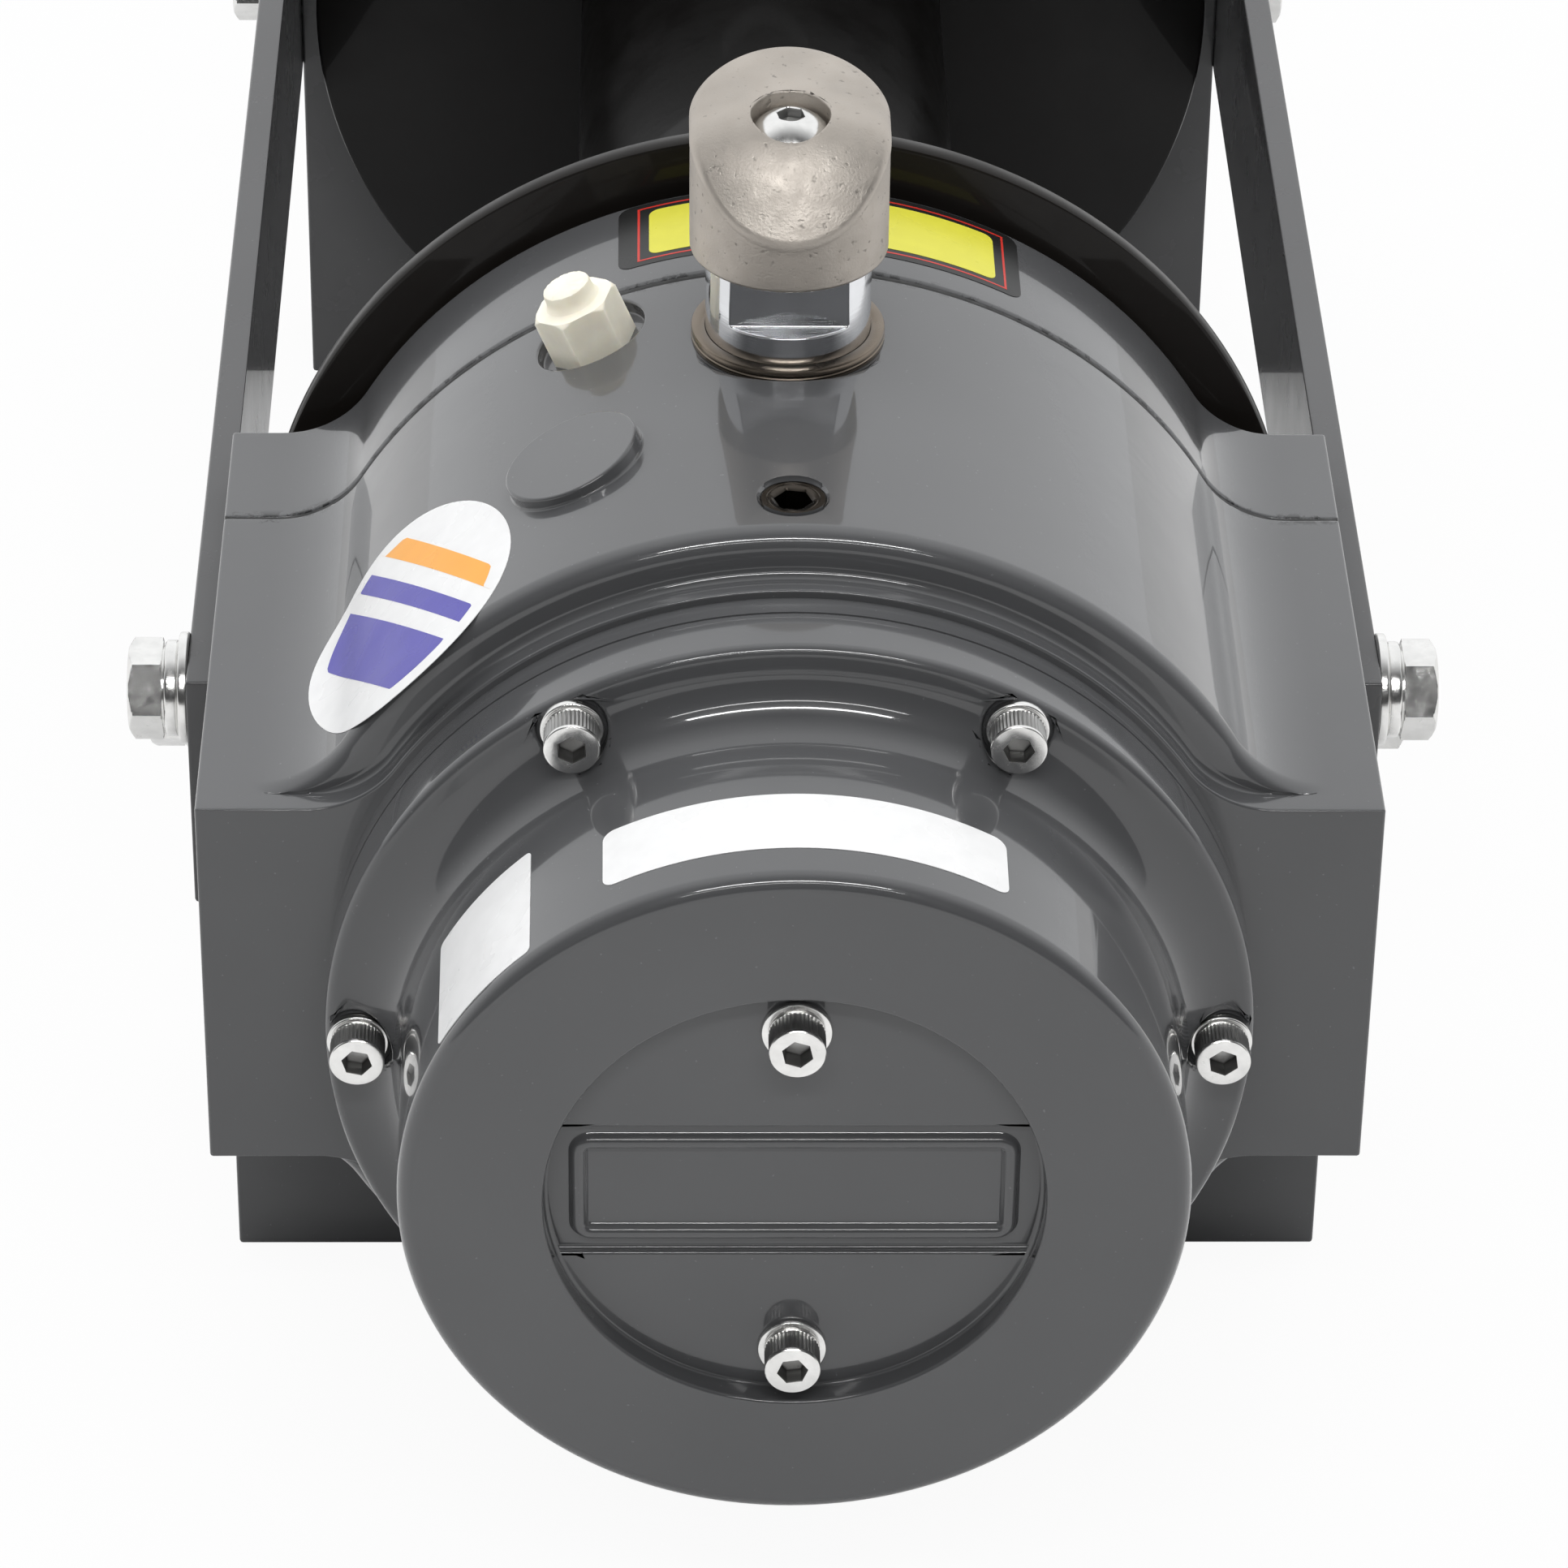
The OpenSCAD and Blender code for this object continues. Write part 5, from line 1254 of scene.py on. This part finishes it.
def label_mesh(rows, place, lift):
    """A thin label that follows a surface. rows hold (y, first, last) in millimetres, place gives a
    point of the surface, and lift is the height of the label's face over it."""
    steps = 56
    lines = []
    for y, first, last in rows:
        for height in (lift / MM, 0.0):
            lines.append([place(first + (last - first) * i / steps, y, height) for i in range(steps + 1)])
    width = steps + 1
    points = [point for line in lines for point in line]
    faces = []
    for k in range(len(rows) - 1):
        top, under = 2 * k * width, (2 * k + 1) * width
        for i in range(steps):
            faces.append((top + i, top + i + 1, top + 2 * width + i + 1, top + 2 * width + i))
            faces.append((under + i, under + 2 * width + i, under + 2 * width + i + 1, under + i + 1))
        for i in (0, steps):
            faces.append((top + i, top + 2 * width + i, under + 2 * width + i, under + i))
    for k in (0, len(rows) - 1):
        top, under = 2 * k * width, (2 * k + 1) * width
        for i in range(steps):
            faces.append((top + i, top + i + 1, under + i + 1, under + i))
    mesh = mesh_from("label", points, faces)
    point_normals_out(mesh)
    return smooth(mesh, 40)


def rounded_rows(y0, y1, first, last, corner):
    """Rows of a rectangle with round corners, in millimetres."""
    steps = 7
    rows = []
    for k in range(steps + 1):
        t = math.radians(90 * k / steps)
        inset = corner * (1 - math.sin(t))
        rows.append((y0 + corner * (1 - math.cos(t)), first + inset, last - inset))
    return rows + [(y1 - (y - y0), a, b) for y, a, b in reversed(rows)]


def oval_outline(half_long, half_short, inset, lean, low, high):
    """Points round a leaning oval, of which low and high keep a band across its short way, as shares."""
    turn = math.radians(lean)
    count = 720
    outline = []
    for i in range(count):
        t = 2 * math.pi * i / count
        u, v = (half_long - inset) * math.cos(t), (half_short - inset) * math.sin(t)
        v = max(low * half_short, min(high * half_short, v))
        outline.append((u * math.cos(turn) - v * math.sin(turn), u * math.sin(turn) + v * math.cos(turn)))
    return outline


def oval_rows(low=-1.0, high=1.0, inset=0.0):
    """Rows of the oval badge or of a band across it, in millimetres."""
    middle_s, middle_y = -104.7, 39.4
    outline = oval_outline(39.5, 33.2, inset, 124.0, low, high)
    first, last = min(y for _, y in outline), max(y for _, y in outline)
    steps = 44
    rows = []
    for k in range(steps + 1):
        y = first + (last - first) * (0.0005 + 0.999 * (1 - math.cos(math.pi * k / steps)) / 2)
        hits = []
        for (s0, y0), (s1, y1) in zip(outline[-1:] + outline, outline):
            if (y0 - y) * (y1 - y) <= 0 and y0 != y1:
                hits.append(s0 + (s1 - s0) * (y - y0) / (y1 - y0))
        if len(hits) >= 2:
            rows.append((middle_y + y, middle_s + min(hits), middle_s + max(hits)))
    return rows


def add_label(name, rows, place, lift, surface):
    """A label on a casting, as a piece of its own."""
    finish_piece(name, label_mesh(rows, place, lift), "frame", surface)


def build_panel():
    """The black panel on the rear casting with a thin red line round its yellow field."""
    thick = sizes().label_t
    left, right, line = -41.9, 61.2, 0.62
    line_left, line_right = left + 5.0, right - 4.7
    add_label("panel_black", rounded_rows(140.5, 171.0, left, right, 3.5), on_casting, thick, "black_vinyl")
    for name, y0, y1, first, last in (
        ("panel_line_front", 142.6, 143.2, left + 5.6, line_right),
        ("panel_line_back", 168.4, 169.0, left + 5.6, line_right),
        ("panel_line_left", 142.6, 169.0, line_left, line_left + line),
        ("panel_line_right", 142.6, 169.0, line_right, line_right + line),
    ):
        add_label(name, [(y0, first, last), (y1, first, last)], on_casting, thick * 1.3, "red_vinyl")
    field = rounded_rows(144.8, 166.8, left + 8.0, right - 7.1, 2.5)
    add_label("panel_yellow", field, on_casting, thick * 1.6, "yellow_vinyl")


def build_cover_labels():
    """The two blank white labels on the wall of the cover."""
    thick = sizes().label_t
    for name, rows in (
        ("cover_label_top", rounded_rows(-74.0, -53.0, -45.7, 49.8, 3.0)),
        ("cover_label_side", rounded_rows(-81.5, -43.0, -99.8, -65.8, 1.5)),
    ):
        add_label(name, rows, on_cover, thick, "white_vinyl")


def build_badge():
    """The oval badge on the left of the front casting, with plain bands."""
    thick = sizes().label_t
    add_label("badge_white", oval_rows(), on_casting, thick, "white_vinyl")
    for name, low, high, surface in (
        ("badge_band", 0.1, 0.58, "blue_vinyl"),
        ("badge_thin_band", -0.22, -0.06, "blue_vinyl"),
        ("badge_stripe", -0.56, -0.38, "orange_vinyl"),
    ):
        add_label(name, oval_rows(low, high, 5.0), on_casting, thick * 1.4, surface)


# Stage

# Lamps: place and size in metres, power in watts, and whether the winch mirrors them
LAMPS = {
    "overhead_softbox": ((0.0, 0.1, 1.75), (1.3, 1.1), 8.0, False),
    "front_strip": ((0.0, -1.69, 1.91), (1.6, 0.10), 18.0, True),
    "low_strip": ((0.0, -1.98, 1.52), (1.6, 0.05), 4.0, True),
    "left_softbox": ((-1.4, -0.1, 1.3), (0.7, 1.3), 5.5, False),
    "right_softbox": ((1.4, -0.1, 1.3), (0.7, 1.3), 4.5, False),
}

# The camera fitted to the photograph: place about the drum axis in millimetres, and angles in degrees
CAMERA_PLACE = (-32.8, -1286.7, 925.3)
CAMERA_YAW, CAMERA_PITCH, CAMERA_ROLL = 1.381, 33.963, 0.82
CAMERA_LENS = 152.125


def build_floor():
    """A pale floor. Its glow seen in reflections is darkened under the winch as a painted shadow, where
    little light falls.
    """
    half, painted_shadow_x, painted_shadow_y = 6, 0.17, 0.42
    corners = [(-half, -half, 0), (half, -half, 0), (half, half, 0), (-half, half, 0)]
    mesh = mesh_from("floor", corners, [(0, 1, 2, 3)])
    pale = Finish("Pale floor")
    grain = pale.ramp(pale.noise(40.0, 3.0), 0.3, 0.7)
    pale.set(Base_Color=pale.mix(grain, (0.80, 0.80, 0.80), (0.83, 0.83, 0.83)), Roughness=0.9)
    path = pale.node("ShaderNodeLightPath")
    place = pale.node("ShaderNodeSeparateXYZ")
    pale.link(pale.coordinates, place.inputs[0])
    # Painted shadow: the glow seen in reflections fades from 0.88 out on the floor to 0.06 under the winch
    aside = pale.math("SUBTRACT", pale.math("ABSOLUTE", place.outputs["X"]), painted_shadow_x)
    along = pale.math("SUBTRACT", pale.math("ABSOLUTE", place.outputs["Y"]), painted_shadow_y)
    away = pale.math("MAXIMUM", aside, along)
    painted_shadow_glow = pale.ramp(away, -0.05, 0.3, 0.06, 0.88)
    glossy = pale.math("MAXIMUM", path.outputs["Is Glossy Ray"], path.outputs["Is Transmission Ray"])
    painted_shadow_glow = pale.math("MULTIPLY", glossy, painted_shadow_glow)
    seen = pale.math("ADD", pale.math("MULTIPLY", path.outputs["Is Camera Ray"], 0.94), painted_shadow_glow)
    glow = pale.node("ShaderNodeEmission")
    glow.inputs["Strength"].default_value = 1.0
    blend = pale.node("ShaderNodeMixShader")
    pale.link(seen, blend.inputs[0])
    pale.link(pale.shader.outputs[0], blend.inputs[1])
    pale.link(glow.outputs[0], blend.inputs[2])
    pale.link(blend.outputs[0], pale.tree.nodes["Material Output"].inputs["Surface"])
    mesh.materials.append(pale.material)
    make_object("pale_floor", mesh)


def build_room():
    """The world: white for the camera, and for the light a room that is dim in front and bright behind."""
    scene = bpy.context.scene
    world = scene.world or bpy.data.worlds.new("Studio")
    scene.world = world
    world.use_nodes = True
    nodes, links = world.node_tree.nodes, world.node_tree.links
    nodes.clear()
    way = nodes.new("ShaderNodeSeparateXYZ")
    links.new(nodes.new("ShaderNodeTexCoord").outputs["Generated"], way.inputs[0])
    level = nodes.new("ShaderNodeMapRange")
    for key, number in (("From Min", -0.4), ("From Max", 0.25), ("To Min", 0.05), ("To Max", 1.1)):
        level.inputs[key].default_value = number
    links.new(way.outputs["Y"], level.inputs["Value"])
    room, bright = nodes.new("ShaderNodeBackground"), nodes.new("ShaderNodeBackground")
    room.inputs["Color"].default_value = (0.98, 0.99, 1.0, 1)
    links.new(level.outputs["Result"], room.inputs["Strength"])
    bright.inputs["Color"].default_value = (1, 1, 1, 1)
    rays, mixer = nodes.new("ShaderNodeLightPath"), nodes.new("ShaderNodeMixShader")
    links.new(rays.outputs["Is Camera Ray"], mixer.inputs[0])
    links.new(room.outputs[0], mixer.inputs[1])
    links.new(bright.outputs[0], mixer.inputs[2])
    links.new(mixer.outputs[0], nodes.new("ShaderNodeOutputWorld").inputs["Surface"])


def build_lamps():
    """Rectangular lamps aimed at the winch. One that isn't mirrored only adds soft light."""
    target = at(0, 60, 60)
    for name, (place, size, power, painted_shadow_glow) in LAMPS.items():
        data = bpy.data.lights.new(name, "AREA")
        data.shape = "RECTANGLE"
        data.size, data.size_y = size
        data.energy = power
        lamp = bpy.data.objects.new(name, data)
        bpy.context.scene.collection.objects.link(lamp)
        lamp.location = place
        lamp.rotation_euler = (target - Vector(place)).to_track_quat("-Z", "Y").to_euler()
        lamp.visible_glossy = painted_shadow_glow


def build_camera():
    """The camera at the photograph's place."""
    scene = bpy.context.scene
    camera = bpy.data.objects.new("photo_camera", bpy.data.cameras.new("photo_camera"))
    scene.collection.objects.link(camera)
    camera.data.sensor_fit = "HORIZONTAL"
    camera.data.sensor_width = 36.0
    camera.data.lens = CAMERA_LENS
    camera.data.clip_start = 0.05
    camera.data.clip_end = 40.0
    yaw, pitch, roll = (math.radians(angle) for angle in (CAMERA_YAW, CAMERA_PITCH, CAMERA_ROLL))
    ahead = Vector((math.sin(yaw) * math.cos(pitch), math.cos(yaw) * math.cos(pitch), -math.sin(pitch)))
    right = Vector((math.cos(yaw), -math.sin(yaw), 0.0))
    up = right.cross(ahead)
    side = right * math.cos(roll) + up * math.sin(roll)
    top = up * math.cos(roll) - right * math.sin(roll)
    turn = Matrix((side, top, -ahead)).transposed()
    camera.matrix_world = Matrix.Translation(at(*CAMERA_PLACE)) @ turn.to_4x4()
    scene.camera = camera
    scene.view_settings.view_transform = "Standard"


# Operators

class WINCH_OT_castings(bpy.types.Operator):
    """Builds both housing castings and the sealant in their seam"""
    bl_idname = "winch.castings"
    bl_label = "Housing castings"
    bl_options = {"REGISTER", "UNDO"}

    def execute(self, context):
        build_front_casting()
        build_rear_casting()
        build_seam_bead()
        return {"FINISHED"}


class WINCH_OT_cover(bpy.types.Operator):
    """Builds the gear cover with its recess and raised frame"""
    bl_idname = "winch.cover"
    bl_label = "Gear cover"
    bl_options = {"REGISTER", "UNDO"}

    def execute(self, context):
        build_cover()
        return {"FINISHED"}


class WINCH_OT_knob(bpy.types.Operator):
    """Builds the knob with its sloping top"""
    bl_idname = "winch.knob"
    bl_label = "Clutch knob"
    bl_options = {"REGISTER", "UNDO"}

    def execute(self, context):
        build_knob()
        return {"FINISHED"}


class WINCH_OT_knob_screw(bpy.types.Operator):
    """Builds the button head screw in the knob"""
    bl_idname = "winch.knob_screw"
    bl_label = "Knob screw"
    bl_options = {"REGISTER", "UNDO"}

    def execute(self, context):
        build_knob_screw()
        return {"FINISHED"}


class WINCH_OT_clutch(bpy.types.Operator):
    """Builds the ground shaft and its bush"""
    bl_idname = "winch.clutch"
    bl_label = "Clutch shaft and bush"
    bl_options = {"REGISTER", "UNDO"}

    def execute(self, context):
        build_clutch()
        return {"FINISHED"}


class WINCH_OT_cover_screws(bpy.types.Operator):
    """Builds the socket screws and washers of the cover"""
    bl_idname = "winch.cover_screws"
    bl_label = "Cover screws"
    bl_options = {"REGISTER", "UNDO"}

    def execute(self, context):
        build_cover_screws()
        return {"FINISHED"}


class WINCH_OT_rail_bolts(bpy.types.Operator):
    """Builds the hexagon bolts and washers of the rails"""
    bl_idname = "winch.rail_bolts"
    bl_label = "Rail bolts"
    bl_options = {"REGISTER", "UNDO"}

    def execute(self, context):
        build_rail_bolts()
        return {"FINISHED"}


class WINCH_OT_motor_screws(bpy.types.Operator):
    """Builds the socket screws of the motor and its valve block"""
    bl_idname = "winch.motor_screws"
    bl_label = "Motor screws"
    bl_options = {"REGISTER", "UNDO"}

    def execute(self, context):
        build_motor_screws()
        return {"FINISHED"}


class WINCH_OT_plugs(bpy.types.Operator):
    """Builds the level plug and the breather plug"""
    bl_idname = "winch.plugs"
    bl_label = "Plugs"
    bl_options = {"REGISTER", "UNDO"}

    def execute(self, context):
        build_level_plug()
        build_breather()
        return {"FINISHED"}


class WINCH_OT_drum(bpy.types.Operator):
    """Builds the drum barrel and its flanges"""
    bl_idname = "winch.drum"
    bl_label = "Drum"
    bl_options = {"REGISTER", "UNDO"}

    def execute(self, context):
        build_drum()
        return {"FINISHED"}


class WINCH_OT_plates(bpy.types.Operator):
    """Builds the rails, the motor support and the foot"""
    bl_idname = "winch.plates"
    bl_label = "Rails and supports"
    bl_options = {"REGISTER", "UNDO"}

    def execute(self, context):
        build_plates()
        return {"FINISHED"}


class WINCH_OT_motor(bpy.types.Operator):
    """Builds the motor and its valve block"""
    bl_idname = "winch.motor"
    bl_label = "Motor"
    bl_options = {"REGISTER", "UNDO"}

    def execute(self, context):
        build_motor()
        return {"FINISHED"}


class WINCH_OT_inner_parts(bpy.types.Operator):
    """Gives the gears, shafts and bearings their finishes"""
    bl_idname = "winch.inner_parts"
    bl_label = "Inner parts"
    bl_options = {"REGISTER", "UNDO"}

    def execute(self, context):
        coat_inner_parts()
        return {"FINISHED"}


class WINCH_OT_labels(bpy.types.Operator):
    """Builds the blank labels and the badge"""
    bl_idname = "winch.labels"
    bl_label = "Labels"
    bl_options = {"REGISTER", "UNDO"}

    def execute(self, context):
        build_panel()
        build_cover_labels()
        build_badge()
        return {"FINISHED"}


class WINCH_OT_stage(bpy.types.Operator):
    """Builds the floor, the lamps and the camera"""
    bl_idname = "winch.stage"
    bl_label = "Stage"
    bl_options = {"REGISTER", "UNDO"}

    def execute(self, context):
        build_floor()
        build_room()
        build_lamps()
        build_camera()
        return {"FINISHED"}


# The operators in the order in which they run
OPERATORS = [
    WINCH_OT_castings, WINCH_OT_cover, WINCH_OT_knob,
    WINCH_OT_knob_screw, WINCH_OT_clutch, WINCH_OT_cover_screws,
    WINCH_OT_rail_bolts, WINCH_OT_motor_screws, WINCH_OT_plugs,
    WINCH_OT_drum, WINCH_OT_plates, WINCH_OT_motor,
    WINCH_OT_inner_parts, WINCH_OT_labels, WINCH_OT_stage,
]


class WINCH_PT_panel(bpy.types.Panel):
    """Lists the winch's pieces in the order in which they are built."""
    bl_label = "Hydraulic winch"
    bl_idname = "WINCH_PT_panel"
    bl_space_type = "VIEW_3D"
    bl_region_type = "UI"
    bl_category = "Winch"

    def draw(self, context):
        """Shows the sizes, the colours and a button for each operator."""
        layout = self.layout
        for group in (context.scene.winch_sizes, context.scene.winch_colours):
            box = layout.box()
            for name in group.__annotations__:
                box.prop(group, name)
        for operator in OPERATORS:
            layout.operator(operator.bl_idname)


CLASSES = [WinchSizes, WinchColours, *OPERATORS, WINCH_PT_panel]


def register():
    """Registers the classes and puts their settings on the scene."""
    for item in CLASSES:
        bpy.utils.register_class(item)
    bpy.types.Scene.winch_sizes = PointerProperty(type=WinchSizes)
    bpy.types.Scene.winch_colours = PointerProperty(type=WinchColours)


def unregister():
    """Takes the settings and the classes away again."""
    del bpy.types.Scene.winch_colours
    del bpy.types.Scene.winch_sizes
    for item in reversed(CLASSES):
        bpy.utils.unregister_class(item)


def main():
    """Builds the whole winch and its stage."""
    register()
    for operator in OPERATORS:
        getattr(bpy.ops.winch, operator.bl_idname.split(".")[1])()


if __name__ == "__main__":
    main()
